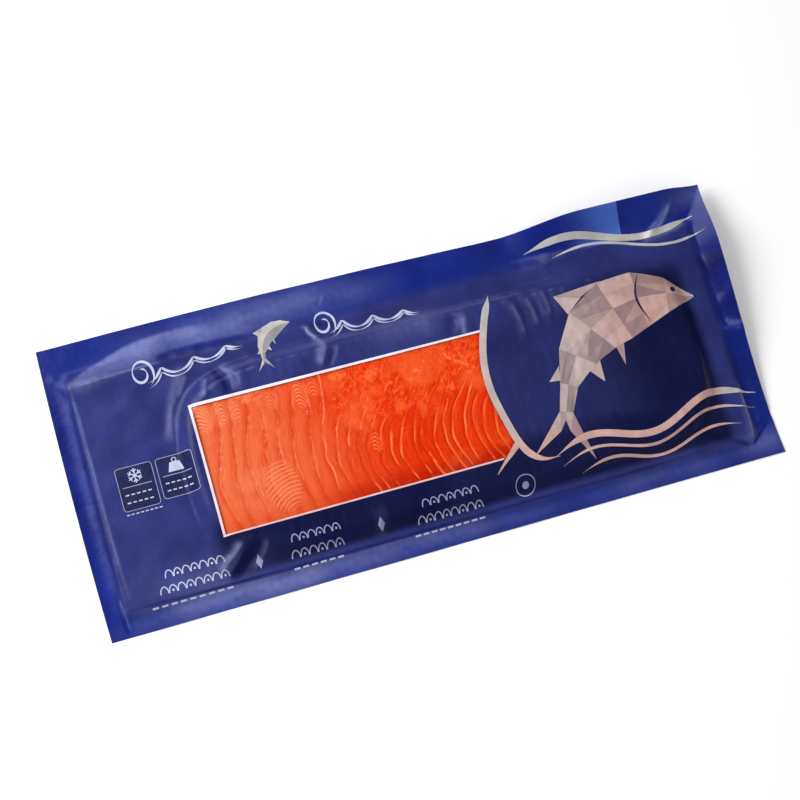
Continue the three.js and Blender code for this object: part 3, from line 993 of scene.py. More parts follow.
class SalmonPrintSettings(bpy.types.PropertyGroup):
    frame_width: size_setting("Frame width", "Width of the band round the window", 2.1)
    band_width: size_setting("Band width", "Width of the waved bands", 6.2)
    silver: colour_setting("Silver", "Silver ink over the card or rim", 206, 205, 202)
    silver_shade: colour_setting("Silver shade", "The darker silver", 142, 142, 146)
    rose: colour_setting("Rose silver", "Silver ink over the fish", 226, 182, 174)
    rose_shade: colour_setting("Rose silver shade", "The darker silver over the fish", 166, 136, 138)
    cool: colour_setting("Cool silver", "The small print's ink", 192, 200, 228)
    cool_dull: colour_setting("Cool silver shade", "The small print's duller ink", 122, 128, 172)
    cool_over_fish: colour_setting("Cool silver over fish", "The small print over the fish", 152, 154, 190)
    frame: colour_setting("Frame", "The window's frame", 238, 234, 240)
    frame_over_fish: colour_setting("Frame over fish", "The window's frame over the fish", 222, 190, 192)
    box_fill: colour_setting("Panel fill", "The dark fill of the two small panels", 26, 30, 76)


class SalmonStageSettings(bpy.types.PropertyGroup):
    floor: colour_setting("Floor", "The plain pale floor", 246, 246, 247)
    key: bpy.props.FloatProperty(name="Key light", description="The left light", default=50, unit="POWER")
    world: bpy.props.FloatProperty(name="Surroundings", description="Light all round", default=0.64, min=0)


# ---- The films ----

LINE_REACH, BOW_REACH = 15, 40  # how far from the window's outline the grid's lines are moved
BACK_COLUMNS, BACK_ROWS = 200, 84
BACK_CLEAR = 0.05  # the back film lies this far above the ground
BACK_SHADE = 0.4  # the share of the fish's shade that the back film has
CLEAR_COLUMNS, CLEAR_ROWS = 212, 95


def drawn_to(lines, target):
    """Moves the grid line nearest to target on to it, and its neighbours part of the way."""
    nearest = lines[np.abs(lines - target).argmin()]
    return lines + (target - nearest) * clamp01(1 - np.abs(lines - nearest) / LINE_REACH)


def film_lines(s, t):
    """The printed film's grid in millimetres, with its lines drawn on to the window's outline."""
    x = drawn_to(drawn_to((s - 0.5) * LENGTH, WINDOW_LEFT), WINDOW_RIGHT)
    y = drawn_to(drawn_to((t - 0.5) * WIDTH, WINDOW_FRONT), WINDOW_BACK)
    bow = window_right(np.clip(y, WINDOW_FRONT, WINDOW_BACK)) - WINDOW_RIGHT
    return x + bow * clamp01(1 - np.abs(x - WINDOW_RIGHT) / BOW_REACH), y


class SALMON_OT_printed_film(bpy.types.Operator):
    """Builds the printed front film with its creases, and the plain back film under it"""

    bl_idname = "salmon.printed_film"
    bl_label = "Printed Film"

    def execute(self, context):
        shared_groups()
        settings = context.scene.salmon_film
        material = printed_film_material(settings)
        cell = settings.cell / MM
        film, s, t = start_piece("printed_film_front", round(LENGTH / cell), round(WIDTH / cell))
        x, y = drawn_in(*film_lines(s, t))
        # the painted light: painted sheen above nothing, painted shade below it
        tone = haze(x, y)
        place_vertices(film, x, y, film_height(x, y))
        set_masks(film, over_card=over_card(x, y), fish_shade=fish_shade(x, y))
        # painted sheen in one mask and painted shade in the depth mask
        set_masks(film, haze=clamp01(tone), depth=clamp01(-tone))
        turn_rim_down(film, s, t, FILM_WALL)
        delete_faces(film, lambda x, y: window_distance(x, y) < 0)
        reshape(film, bpy.ops.mesh.normals_make_consistent)
        finish_piece(film, material, ("pouch",))

        back, s, t = start_piece("printed_film_back", BACK_COLUMNS, BACK_ROWS)
        x, y = drawn_in((s - 0.5) * LENGTH, (t - 0.5) * WIDTH)
        place_vertices(back, x, y, lift(x, y) + BACK_CLEAR)
        set_masks(back, over_card=over_card(x, y), fish_shade=BACK_SHADE * fish_shade(x, y), haze=0, depth=0)
        reshape(back, bpy.ops.mesh.flip_normals)
        finish_piece(back, material)
        return {"FINISHED"}


class SALMON_OT_clear_film(bpy.types.Operator):
    """Builds the clear film over the window"""

    bl_idname = "salmon.clear_film"
    bl_label = "Clear Film"

    def execute(self, context):
        film, s, t = start_piece("clear_window_film", CLEAR_COLUMNS, CLEAR_ROWS)
        y = mix(WINDOW_FRONT, WINDOW_BACK, t)
        x = mix(WINDOW_LEFT, window_right(y), s)
        place_vertices(film, x, y, clear_height(x, y))
        finish_piece(film, clear_film_material(), ("window_film",))
        return {"FINISHED"}


# ---- The slices ----

SLICE_MARGIN = 4  # the slices run on this far under the print
SLICE_CLEAR = 0.02  # half the gap between two slices' faces
SLICE_ROLL, ROLL_DEPTH, SLICE_CREASE = 1.8, 0.34, 55  # its edge's roll, in and down, and its crease angle
FIRST_SLICE_FROM = -191  # the first slice's pattern starts here
EDGE_WAVER, EDGE_ASIDE = 0.95, 1.3  # how far a shown edge wavers, and how far it may lie to one side
EDGE_SHIFTS = {1: -2.6, 2: -2.6, 3: -2.6}  # the edges of these slices show further left
EDGE_LEFT, EDGE_SWIRLED = 0.12, 0.92  # what the left keeps of an edge's relief, and what the swirls take
SLICE_FALL = 0.8 * SLICE_STEP  # how far a slice's face falls over its width
FACE_WAVES = ((0.16, (19, 100, 0.3, 2.0)), (0.07, (6.5, 101)))  # the soft relief of all the slices' faces
OWN_SWELL, OWN_LENGTH, SWELL_MOST, FACE_SUNK = 0.10, 12, 0.3, 0.2  # and of each slice's own
LEFT_EDGES = 0.22  # how much more the pale edges show on the left than the slices' relief does
SWELL_SEED, TONE_SEED, LATER_SEED, ASIDE_SEED = 200, 500, 600, 700  # a slice's draws are from seed + k
LATER = (-9, 13)  # a slice's edge may give way to the swirls this much further back

# Each slice's own waves along its edge: how far apart the slices lie in them, their length and their seed.
WAVER_WAVES = (37.0, 22, 300)
STRENGTH_LEVEL, STRENGTH_SWING, STRENGTH_WAVES = 0.75, 0.45, (11.0, 24, 400)

REDDENS, REDDENS_SLANT, REDDENS_WAVES = (-172, -20), 0.3, ((9, (60, 41)),)  # from the pale left to the right
SWIRLS_ALONG, SWIRLS_DEPTH = (-92, -52), 18  # from the slices' lines to swirls, along the pack and across it
SWIRLS_WAVES = ((12, (26, 43)),)
SWIRLS_FRONT_LEFT, SWIRLS_FRONT_RIGHT, SWIRLS_TURN = -14, -5, (0, 50)
ROLLS_DOWN, ROLLS_FULLY, ROLLED_LEFT = (-45, -65), (-120, -70), 0.48  # painted shade by the near edge, where the fish's side rolls down

# Patches of nested arcs of fat: centre, half size and strength. The arcs follow each slice.
ARCED_AREAS = (
    ((-182, 31), (7.5, 12), 0.85),
    ((-169, 32), (6.5, 11), 0.75),
    ((-157, 32), (6, 11), 0.6),
    ((-124, 33), (7, 9), 0.5),
    ((-99, 31), (6, 12), 0.95),
    ((-87, 34), (6, 8), 0.75),
    ((-73, 33), (6, 9), 0.3),
    ((-48, -25), (5, 9), 0.8),
    ((-104, -28), (5, 9), 0.35),
    ((-90, -8), (5, 12), 0.22),
    ((-168, -38), (6, 12), 0.25),
    ((-180, -10), (6, 14), 0.2),
    ((-150, -2), (6, 14), 0.22),
    ((-154, -52), (7, 10), 0.3),
)
ARC_PITCH, ARC_BEND = 3.3, 32  # an arc's ends fall behind its middle by its bend, for a slice's width squared
ARC_MIDDLE, FIRST_ARC_MIDDLE = 0.5, 0.2  # where in a slice's width the arcs' middles are
ARC_SHIFT = 0.4  # the next slice's arcs lie this share of the pitch on

# A fan of wider arcs that runs across several slices, round a point on the window's near edge.
FAN_CENTRE = (-123, -72)
FAN_AREA = ((-134, -40), (15, 22), 0.62)
FAN_PITCH = 3.4

# Pale spots of the flesh: centre, half size and strength.
PALE_SPOTS = (
    ((-142, 41), (14, 6), 0.85),
    ((-135, 20), (4, 20), 0.55),
    ((-47, 6), (5, 20), 0.5),
    ((-66, 38), (7, 4), 0.8),
    ((-37, 32), (6, 5), 0.8),
    ((-20, -2), (5, 8), 0.55),
    ((-2, -6), (4, 9), 0.5),
    ((58, -48), (7, 9), 0.3),
    ((22, -58), (16, 8), 0.25),
)
SEAM = (((28, 38), (34, 28), (45, 21), (57, 12)), 1.3, 1.3, 1.0)  # a pale seam across the far right slices


def beyond_slices(x, y):
    """True where no slice is wanted: further under the print than the slices run on."""
    across = (y > WINDOW_FRONT - SLICE_MARGIN) & (y < WINDOW_BACK + SLICE_MARGIN)
    return ~(across & (x > WINDOW_LEFT - SLICE_MARGIN) & (x < window_right(y) + SLICE_MARGIN))


def drawn(seed, k, low, high):
    """A random number of slice k's own."""
    return np.random.default_rng(seed + k).uniform(low, high)


def own_waves(k, y, apart, length, seed):
    """Soft waves along slice k, from about -1 to 1."""
    return cockle(y, np.full_like(y, apart * k), length, seed + k)


def shown_edge(k, y):
    """The edge of slice k as it shows: the frame's, set a little to one side and with its own small waver."""
    if k == SLICES:
        return np.full_like(y, WINDOW_RIGHT + SLICE_MARGIN + 2)
    aside = EDGE_SHIFTS.get(k, drawn(ASIDE_SEED, k, -EDGE_ASIDE, EDGE_ASIDE))
    return slice_edge(k, y) + aside + EDGE_WAVER * own_waves(k, y, *WAVER_WAVES)


def redness(x, y):
    """How red the flesh is: pale at the left end, deepest at the right."""
    return rise(uneven(x, y, x + REDDENS_SLANT * y, REDDENS_WAVES), *REDDENS)


def blotchy(x, y):
    """One in the far third of the window, where the slices' lines give way to swirls, less on its left."""
    front = mix(SWIRLS_FRONT_LEFT, SWIRLS_FRONT_RIGHT, rise(x, *SWIRLS_TURN))
    across = rise(uneven(x, y, y, SWIRLS_WAVES), front, front + SWIRLS_DEPTH)
    return across * rise(x, *SWIRLS_ALONG)


def front_shade(x, y):
    """Painted shade: the deeper colour where the fish's side rolls down to its near edge."""
    return rise(y, *ROLLS_DOWN) * mix(ROLLED_LEFT, 1, rise(x, *ROLLS_FULLY))


def edge_strength(k, x, y):
    """How clearly a slice stands out: hardly on the left, nor in the far third of the window."""
    vary = clamp01(STRENGTH_LEVEL + STRENGTH_SWING * own_waves(k, y, *STRENGTH_WAVES))
    lined = 1 - EDGE_SWIRLED * blotchy(x, y - drawn(LATER_SEED, k, *LATER))
    return mix(EDGE_LEFT, 1, redness(x, y)) * lined * vary


def slice_face_height(k, x, y, share, width):
    """The upper face of slice k at a share of its width."""
    roll = ROLL_DEPTH * (1 - smooth(share * width / SLICE_ROLL))
    strength = edge_strength(k, x, y)
    own_swell = OWN_SWELL * strength * cockle(x, y, OWN_LENGTH, SWELL_SEED + k)
    swell = uneven(x, y, 0, FACE_WAVES) + own_swell
    fall = (SLICE_FALL * share**1.5 + roll) * strength
    top = pouch_top(x, y) - PANEL - GAP - SLICE_SINK
    return top - fall + np.minimum(swell, SWELL_MOST) - FACE_SUNK


def strongest(x, y, areas):
    """The strongest of some soft round areas, each full at its centre."""
    shown = []
    for centre, half, strength in areas:
        away = ((x - centre[0]) / half[0]) ** 2 + ((y - centre[1]) / half[1]) ** 2
        shown.append(strength * smooth(1.5 - away))
    return np.maximum.reduce(shown)


def arcs_of_fat(k, x, y, share):
    """How much the arcs show, and their place in the run of arcs, where each whole number is one arc."""
    middle = ARC_MIDDLE if k else FIRST_ARC_MIDDLE
    phase = (y + ARC_BEND * (share - middle) ** 2) / ARC_PITCH + ARC_SHIFT * k
    in_fan = strongest(x, y, [FAN_AREA])
    fan_phase = np.hypot(x - FAN_CENTRE[0], y - FAN_CENTRE[1]) / FAN_PITCH
    chosen = in_fan > 0
    return np.where(chosen, in_fan, strongest(x, y, ARCED_AREAS)), np.where(chosen, fan_phase, phase)


class SALMON_OT_slices(bpy.types.Operator):
    """Builds the slices of smoked salmon, one piece each"""

    bl_idname = "salmon.slices"
    bl_label = "Salmon Slices"

    def execute(self, context):
        shared_groups()
        settings = context.scene.salmon_slices
        material = salmon_material(settings)
        for k in range(SLICES):
            node = f"salmon_slice_{k + 1:02d}"
            piece = self.shape(k, "smoked_" + node, settings)
            self.pattern(k, piece)
            finish_piece(piece, material, (node,), SLICE_CREASE)
        return {"FINISHED"}

    def shape(self, k, name, settings):
        piece, s, t = start_piece(name, settings.columns, settings.stations)
        y = mix(WINDOW_FRONT - SLICE_MARGIN - 1, WINDOW_BACK + SLICE_MARGIN + 1, t)
        left = shown_edge(k, y) + SLICE_CLEAR if k else np.full_like(y, WINDOW_LEFT - SLICE_MARGIN - 1)
        width = np.maximum(shown_edge(k + 1, y) - SLICE_CLEAR - left, 0.5)
        share = s**1.25  # closer columns near the rolled edge
        x = left + share * width
        place_vertices(piece, x, y, slice_face_height(k, x, y, share, width))
        delete_faces(piece, beyond_slices)
        if not piece.data.vertices:
            raise RuntimeError(f"{name} lies outside the window")
        body = piece.modifiers.new("Body", "SOLIDIFY")
        body.thickness = settings.thickness
        body.offset = -1
        only(piece)
        bpy.ops.object.modifier_apply(modifier=body.name)
        return piece

    def pattern(self, k, piece):
        """Stores where each place lies in the slice and what its flesh is like."""
        x, y, _ = places_of(piece)
        left = shown_edge(k, y) if k else FIRST_SLICE_FROM
        share = clamp01((x - left) / (shown_edge(k + 1, y) - left))
        red, swirled = redness(x, y), blotchy(x, y)
        arced, arc_phase = arcs_of_fat(k, x, y, share)
        set_masks(piece, inward=x - left, across=share, along=y, redness=red, blotchy=swirled)
        set_masks(piece, edged=edge_strength(k, x, y) + LEFT_EDGES * (1 - red) * (1 - swirled))
        set_masks(piece, arced=arced, arc_phase=arc_phase, front_shade=front_shade(x, y))
        set_masks(piece, seam=clamp01(fold_tone(x, y, *SEAM)), pale=strongest(x, y, PALE_SPOTS))
        set_masks(piece, tone=drawn(TONE_SEED, k, 0, 1))


# ---- The window's frame ----

FRAME_LAP = 0.5  # the frame overlaps the printed film by this much
FRAME_FAR_LEFT, FRAME_FAR_RIGHT, FRAME_NEAR = 1.3, 0.85, 0.7  # shares of the frame's width on the long sides
BAND_ASIDE = 2.4  # from the window's edge to the band's middle
BAND_POINTS = (
    (84.5, 76),
    (75.5, 60),
    (69.5, 46),
    (62.8, 26),
    (59.6, 8),
    (59.3, -8),
    (61.4, -24),
    (64.6, -40),
    (68.6, -56),
    (75, -69),
    (86, -77),
    (100, -78.5),
)
HOOK_POINTS = ((69.3, -55), (66.6, -59.2), (60.8, -64.4), (53.6, -70.2), (43, -79.5))


class SALMON_OT_window_frame(bpy.types.Operator):
    """Prints the pale frame round the window and the waved silver band at its right end"""

    bl_idname = "salmon.window_frame"
    bl_label = "Window Frame"

    def execute(self, context):
        settings = context.scene.salmon_print
        width = settings.frame_width / MM
        reach = width / 2
        inset = reach - FRAME_LAP
        left, front, back = WINDOW_LEFT + inset, WINDOW_FRONT + inset, WINDOW_BACK - inset
        far_side = straight((left - reach, back), (WINDOW_RIGHT + BAND_ASIDE, back))
        sides = [
            ribbon(far_side, lambda s: width * mix(FRAME_FAR_LEFT, FRAME_FAR_RIGHT, s)),
            line((left, back - reach), (left, front + reach), width),
            line((left - reach, front), (window_right(WINDOW_FRONT), front), width * FRAME_NEAR),
        ]
        print_on_film("window_frame_print", sides, "frame_ink", 2 * INK_RAISED, frame_height)

        wide = settings.band_width / MM
        band = ribbon(through(BAND_POINTS), lambda s: wide * taper(s, 0.10, 0.16, 0.06), 150, 3)
        hook = ribbon(through(HOOK_POINTS), lambda s: wide * smooth(s / 0.2 + 0.1) * (1 - 0.9 * s), 24, 3)
        print_on_film("window_band_print", [band, hook], "silver_ink", 3 * INK_RAISED, frame_height)
        return {"FINISHED"}


# ---- The large print ----

# A leaping fish: a spine from tail to nose, with the body's half widths along it.
FISH_TAIL, FISH_ARCH, FISH_NOSE = (117, -43), (157, 66), (263, 28)
BODY_STATIONS = (0.0, 0.11, 0.25, 0.41, 0.58, 0.73, 0.87, 1.0)
BODY_WIDTHS = (5.5, 7.5, 16.0, 23.5, 27.0, 24.0, 15.5, 0.8)
BELLY_SHARE = 1.15  # the belly is fuller than the back
FACET_SHARES = (0, 0.55, 1)  # where the facets' corners lie between the spine and the outline
FACET_TONES = (1.0, 0.45, 0.88, 0.1, 0.95, 0.3, 0.75, 0.0)

# Fins as corners at a share of the spine and a distance beside it, with a tone each.
FINS = (
    (((0.0, 5.5), (-0.15, 28), (-0.07, 4)), 0.9),
    (((0.0, 5.5), (-0.07, 4), (-0.03, 0), (0.0, 0)), 0.45),
    (((0.0, -6.3), (0.0, 0), (-0.03, 0), (-0.07, -4)), 0.7),
    (((0.0, -6.3), (-0.07, -4), (-0.17, -25)), 0.3),
    (((0.40, 23.4), (0.42, 43), (0.49, 25)), 0.95),
    (((0.49, 25.3), (0.42, 43), (0.60, 26.6)), 0.5),
    (((0.12, 7.7), (0.105, 17), (0.18, 11.6)), 0.8),
    (((0.20, -15.0), (0.17, -31), (0.28, -20.6)), 0.75),
    (((0.42, -27.2), (0.34, -43), (0.49, -29.6)), 0.4),
)
EYE, EYE_RADIUS = (0.905, 4), 2.6
GILL_AT, GILL_BOW, GILL_TOP, GILL_BOTTOM, GILL_WIDTH = 0.76, 0.04, 20, -23, 1.7

# Waves: from x, to x, height at each end, swing, number of waves, share of the band's width.
WAVES = (
    (97, 291, -78, -64, 8, 1.6, 1.0),
    (100, 286, -88, -77, 7, 1.6, 0.4),
    (116, 268, -97, -92, 5, 1.5, 0.4),
    (150, 292, 94, 84, 6, 1.0, 0.4),
    (128, 286, 105, 96, 6, 1.1, 1.0),
)


def beside_spine(s, aside):
    """A point at a distance to the left of the fish's spine, looking from tail to nose."""
    tail, arch, nose = np.array((FISH_TAIL, FISH_ARCH, FISH_NOSE), dtype=float)[:, :, None]
    x, y = (1 - s) ** 2 * tail + 2 * s * (1 - s) * arch + s * s * nose
    dx, dy = (1 - s) * (arch - tail) + s * (nose - arch)
    size = np.hypot(dx, dy)
    return np.squeeze((x - dy / size * aside, y + dx / size * aside))


def fins():
    return [([beside_spine(*corner) for corner in corners], tone) for corners, tone in FINS]


def fish_facets():
    """The fish's facets: each its corners and its tone."""
    facets = []
    rows = list(zip(BODY_STATIONS, BODY_WIDTHS))
    for i, span in enumerate(zip(rows, rows[1:])):
        for side, shift in ((1, 0), (-BELLY_SHARE, 3)):
            (in0, half0, out0), (in1, half1, out1) = (
                [beside_spine(s, side * width * share) for share in FACET_SHARES] for s, width in span
            )
            triangles = ((in0, in1, half0), (half0, in1, half1), (half0, half1, out0), (out0, half1, out1))
            for j, corners in enumerate(triangles):
                facets.append((corners, FACET_TONES[(3 * i + 2 * j + shift) % len(FACET_TONES)]))
    return facets + fins()


def emblem_facets():
    """The fish again in a plainer form, with a light back and a dark belly."""
    facets = []
    for side, tone in ((1, 1.0), (-BELLY_SHARE, 0.25)):
        rows = [
            (beside_spine(s, 0), beside_spine(s, side * width))
            for s, width in zip(BODY_STATIONS, BODY_WIDTHS)
        ]
        facets += [((in0, in1, out1, out0), tone) for (in0, out0), (in1, out1) in zip(rows, rows[1:])]
    return facets + fins()


class SALMON_OT_large_print(bpy.types.Operator):
    """Prints the large faceted fish and the waves round it"""

    bl_idname = "salmon.large_print"
    bl_label = "Large Print"

    def execute(self, context):
        print_on_film("fish_print", [patch(*facet) for facet in fish_facets()], "silver_ink")
        gill = ribbon(self.gill, lambda s: GILL_WIDTH * np.sin(math.pi * clamp01(s)) + 0.25)
        eye = disc(beside_spine(*EYE), EYE_RADIUS)
        print_on_film("fish_print_eye", [eye, gill], "navy_ink", 2 * INK_RAISED)
        wide = context.scene.salmon_print.band_width / MM
        waves = [self.wave(wide, *wave) for wave in WAVES]
        print_on_film("wave_print", waves, "silver_ink", 1.4 * INK_RAISED)
        return {"FINISHED"}

    def gill(self, s):
        """A shallow arc across the fish behind its head."""
        return beside_spine(GILL_AT - GILL_BOW * np.sin(math.pi * s), mix(GILL_TOP, GILL_BOTTOM, s))

    def wave(self, wide, x0, x1, y0, y1, swing, waves, share):
        return ribbon(
            lambda s: (mix(x0, x1, s), mix(y0, y1, s) + swing * np.sin(math.tau * waves * s)),
            lambda s: wide * share * taper(s, 0.16, 0.16, 0.08),
            rows=3,
        )


# ---- The small print ----

# Flourishes: curl's centre, curl's radius, far end of the wave train, waves, greatest width.
FLOURISHES = (
    ((-222, 84), 13.5, (-134, 90), 3, 2.4),
    ((-62, 88), 13.5, (22, 80), 3, 2.4),
)
EMBLEM, EMBLEM_OF = (-108, 87), (182, 10)  # the small fish's place, and the large one's middle
EMBLEM_SCALE, EMBLEM_TURN = 0.26, 0.3
SEPARATORS, SEPARATOR_SIZE = ((-169, -95), (-64, -93)), 6.0
ROUND_MARK, MARK_RADIUS, MARK_STROKE, MARK_DOT = (64, -94), 8.6, 0.8, 3.0
SCALE_WIDTH, SCALE_HEIGHT, SCALE_STROKE, SCALE_DOT = 7.0, 6.0, 0.95, 1.0
SCALE_FOOT, SCALE_DOT_LOW = 0.46, 0.2  # shares: of the pitch to an arch's foot, of the height to its dot
# Rows of scales: middle, height on the pack and length.
SCALE_ROWS = (
    (-221, -84.5, 50),
    (-224, -97, 58),
    (-119, -85, 42),
    (-120, -97.5, 45),
    (-2, -86, 50),
    (-4, -98.5, 58),
)
# Rows of dashes: from x, to x, height on the pack, a dash's length and its width.
DASH_ROWS = (
    (-262, -192, -109, 5.0, 1.5),
    (-143, -98, -109, 5.0, 1.5),
    (-38, 26, -110, 5.0, 1.5),
    (-263, -232, -29.5, 2.6, 0.9),
)
# The two small panels: left, right, front and back.
PANELS = ((-264, -233.5, -26.5, 10), (-230, -199.5, -24.5, 10))
PANEL_CORNER, PANEL_OUTLINE, PANEL_RULE = 2.5, 0.6, 0.7
PANEL_SIGN, PANEL_SPLIT, PANEL_DASHES = 0.23, 0.46, (0.64, 0.82)  # shares of the depth from its far edge
PANEL_MARGIN, PANEL_INDENT, PANEL_DASH = 3, 1, (3.0, 1.1)  # the dashes start further in than the rule
DULL_TONE = 0.3  # the tone of the panels' outlines and of the diamonds' dark halves
ARM, FORK_FROM, FORK, FORK_TURN = 6.2, 3.4, 2.6, 50  # a snowflake's arms and the forks on them
WIND_FROM, WIND_TURN, WIND_IN, WIND_FLAT = -60, 520, 0.72, 0.8  # how a flourish's curl winds in
CURL_PRESSES, CURL_FACES, TRAIN_FACES = 1.2, 70, 110  # how often the pen presses, and faces along a stroke
TRAIN_SWAY, TRAIN_RISE, TRAIN_FALLS, TRAIN_UNDER = 3.0, 6.5 / 1.4, 0.55, 4.5  # the waves that leave it


def row_of_scales(centre, y, length):
    """A row of small arches like the scales of a fish, with a dot in every other one."""
    count = max(1, round(length / SCALE_WIDTH))
    pitch = length / count
    strokes = []
    for i in range(count):
        middle = centre - length / 2 + pitch * (i + 0.5)
        strokes.append(ribbon(scale_path(middle, y, pitch), SCALE_STROKE, columns=14))
        if i % 2:
            strokes.append(disc((middle, y - SCALE_HEIGHT * SCALE_DOT_LOW), SCALE_DOT, 8))
    return strokes


def scale_path(middle, y, pitch):
    """Half an oval that stands on its two ends."""
    return lambda s: (
        middle - pitch * SCALE_FOOT * np.cos(math.pi * s),
        y - SCALE_HEIGHT / 2 + SCALE_HEIGHT * np.sin(math.pi * s),
    )


def dashes(x0, x1, y, dash, width):
    count = max(1, round((x1 - x0) / (dash * 1.5)))
    pitch = (x1 - x0) / count
    return [line((x0 + i * pitch, y), (x0 + i * pitch + dash, y), width) for i in range(count)]


def diamond(x, y):
    """The light and dark halves of a slim diamond."""
    half = SEPARATOR_SIZE * 0.5
    top, bottom = (x, y + SEPARATOR_SIZE), (x, y - SEPARATOR_SIZE)
    return [patch([bottom, top, (x - half, y)]), patch([bottom, (x + half, y), top], DULL_TONE)]


def rounded_corners(left, right, front, back):
    """A rectangle with its corners cut round, anticlockwise."""
    x0, x1, y0, y1 = left + PANEL_CORNER, right - PANEL_CORNER, front + PANEL_CORNER, back - PANEL_CORNER
    corners = (((x1, y0), -90), ((x1, y1), 0), ((x0, y1), 90), ((x0, y0), 180))
    return [
        polar(centre, PANEL_CORNER, math.radians(start + turn))
        for centre, start in corners
        for turn in (0, 30, 60, 90)
    ]


def snowflake(*centre):
    """Six arms with a small fork on each."""
    strokes = []
    for i in range(6):
        angle = math.radians(60 * i + 30)
        if i < 3:
            strokes.append(line(polar(centre, -ARM, angle), polar(centre, ARM, angle), 1.0))
        base = polar(centre, FORK_FROM, angle)
        for side in (-1, 1):
            strokes.append(line(base, polar(base, FORK, angle + side * math.radians(FORK_TURN)), 0.9))
    return strokes


def weight_sign(x, y):
    """A kitchen weight: a block that is narrower at its top, with a ring on it."""
    block = patch([(x - 6.5, y - 5.5), (x + 6.5, y - 5.5), (x + 4.2, y + 2.6), (x - 4.2, y + 2.6)])
    return [block, ring((x, y + 4.2), 1.9, 0.9)]


def curl_path(centre, radius):
    """An open curl that winds in, like the crest of a wave."""

    def path(s):
        angle = np.radians(WIND_FROM + s * WIND_TURN)
        reach = radius * (1 - WIND_IN * np.clip(s, -1, 2))
        return centre[0] + reach * np.cos(angle) * WIND_FLAT, centre[1] + reach * np.sin(angle)

    return path


def train_path(centre, radius, end, waves, under):
    """A train of waves that leaves the curl and dies away."""

    def path(s):
        turn = math.tau * waves * s
        fall = 1 - TRAIN_FALLS * s
        x = mix(centre[0] + radius * 0.2, end[0], s) + TRAIN_SWAY * np.sin(turn)
        y = mix(centre[1] - radius * 0.7, end[1] - 3, s) + TRAIN_RISE * fall * (1 - np.cos(turn))
        return x, y - under * TRAIN_UNDER * fall

    return path


def brushed(width, waves):
    """A pen's stroke: thick and thin by turns, and fine at its ends."""
    return lambda s: width * mix(0.28, 1, np.abs(np.sin(math.tau * waves * s))) * taper(s, 0.1, 0.1, 0.15)


class SALMON_OT_small_print(bpy.types.Operator):
    """Prints the flourishes, the small emblem, the ornaments and the two panels"""

    bl_idname = "salmon.small_print"
    bl_label = "Small Print"

    def execute(self, context):
        self.flourishes()
        self.emblem()
        self.ornaments()
        self.panels()
        return {"FINISHED"}

    def flourishes(self):
        strokes = []
        for centre, radius, end, waves, width in FLOURISHES:
            strokes.append(ribbon(curl_path(centre, radius), brushed(width, CURL_PRESSES), CURL_FACES))
            for under in (0, 1):
                path = train_path(centre, radius, end, waves, under)
                strokes.append(ribbon(path, brushed(width * (1 - 0.45 * under), waves), TRAIN_FACES))
        print_on_film("flourish_print", strokes, "cool_ink")

    def emblem(self):
        turn = EMBLEM_SCALE * np.array(
            ((math.cos(EMBLEM_TURN), -math.sin(EMBLEM_TURN)), (math.sin(EMBLEM_TURN), math.cos(EMBLEM_TURN)))
        )
        facets = [
            patch([turn @ np.subtract(corner, EMBLEM_OF) + EMBLEM for corner in corners], tone)
            for corners, tone in emblem_facets()
        ]
        print_on_film("emblem_print", facets, "silver_ink")

    def ornaments(self):
        strokes = [stroke for row in SCALE_ROWS for stroke in row_of_scales(*row)]
        strokes += [stroke for row in DASH_ROWS for stroke in dashes(*row)]
        strokes += [ring(ROUND_MARK, MARK_RADIUS, MARK_STROKE), disc(ROUND_MARK, MARK_DOT)]
        strokes += [half for place in SEPARATORS for half in diamond(*place)]
        print_on_film("ornament_print", strokes, "cool_ink")

    def panels(self):
        fills, strokes, signs = [], [], []
        for (left, right, front, back), sign in zip(PANELS, (snowflake, weight_sign)):
            outline = rounded_corners(left, right, front, back)
            fills.append(patch(outline))
            sides = zip(outline, outline[1:] + outline[:1])
            strokes += [line(start, end, PANEL_OUTLINE, DULL_TONE) for start, end in sides]
            split = mix(back, front, PANEL_SPLIT)
            start, end = left + PANEL_MARGIN, right - PANEL_MARGIN
            strokes.append(line((start, split), (end, split), PANEL_RULE, DULL_TONE))
            for row in PANEL_DASHES:
                strokes += dashes(start + PANEL_INDENT, end, mix(back, front, row), *PANEL_DASH)
            signs += sign((left + right) / 2, mix(back, front, PANEL_SIGN))
        print_on_film("panel_fill_print", fills, "navy_ink")
        print_on_film("panel_line_print", strokes + signs, "cool_ink", 2 * INK_RAISED)


# ---- The stage ----

# The camera's place, what it looks at and how far it is rolled, in metres and degrees, and its focal length.
CAMERA_PLACE = (-0.24809, -0.24534, 1.21815)
CAMERA_TARGET = (-0.01621, 0.00713, 0)
CAMERA_ROLL = 26.687
CAMERA_LENS, SENSOR = 66.375, 36

KEY_FROM, KEY_SIZE = (-1.6, 0.55, 1.25), 1.2
FLOOR_SIZE = 8

# What shows in reflections: a dim room with one soft panel of light, high up behind and to the left.
PANEL_TOWARDS = (-0.45, 0.62, 0.8)
PANEL_FADES, PANEL_FULL = 0.86, 0.96  # cosines of the angle from the panel's middle
PANEL_BRIGHT, MIRRORED_ROOM = 3.2, 0.05


def aim(thing, place, target=(0, 0, 0), roll=0):
    """Puts a light or a camera in its place and turns it to its target."""
    turn = (Vector(target) - Vector(place)).to_track_quat("-Z", "Y")
    thing.location = place
    thing.rotation_euler = (turn @ Quaternion((0, 0, 1), math.radians(roll))).to_euler()
    bpy.context.scene.collection.objects.link(thing)


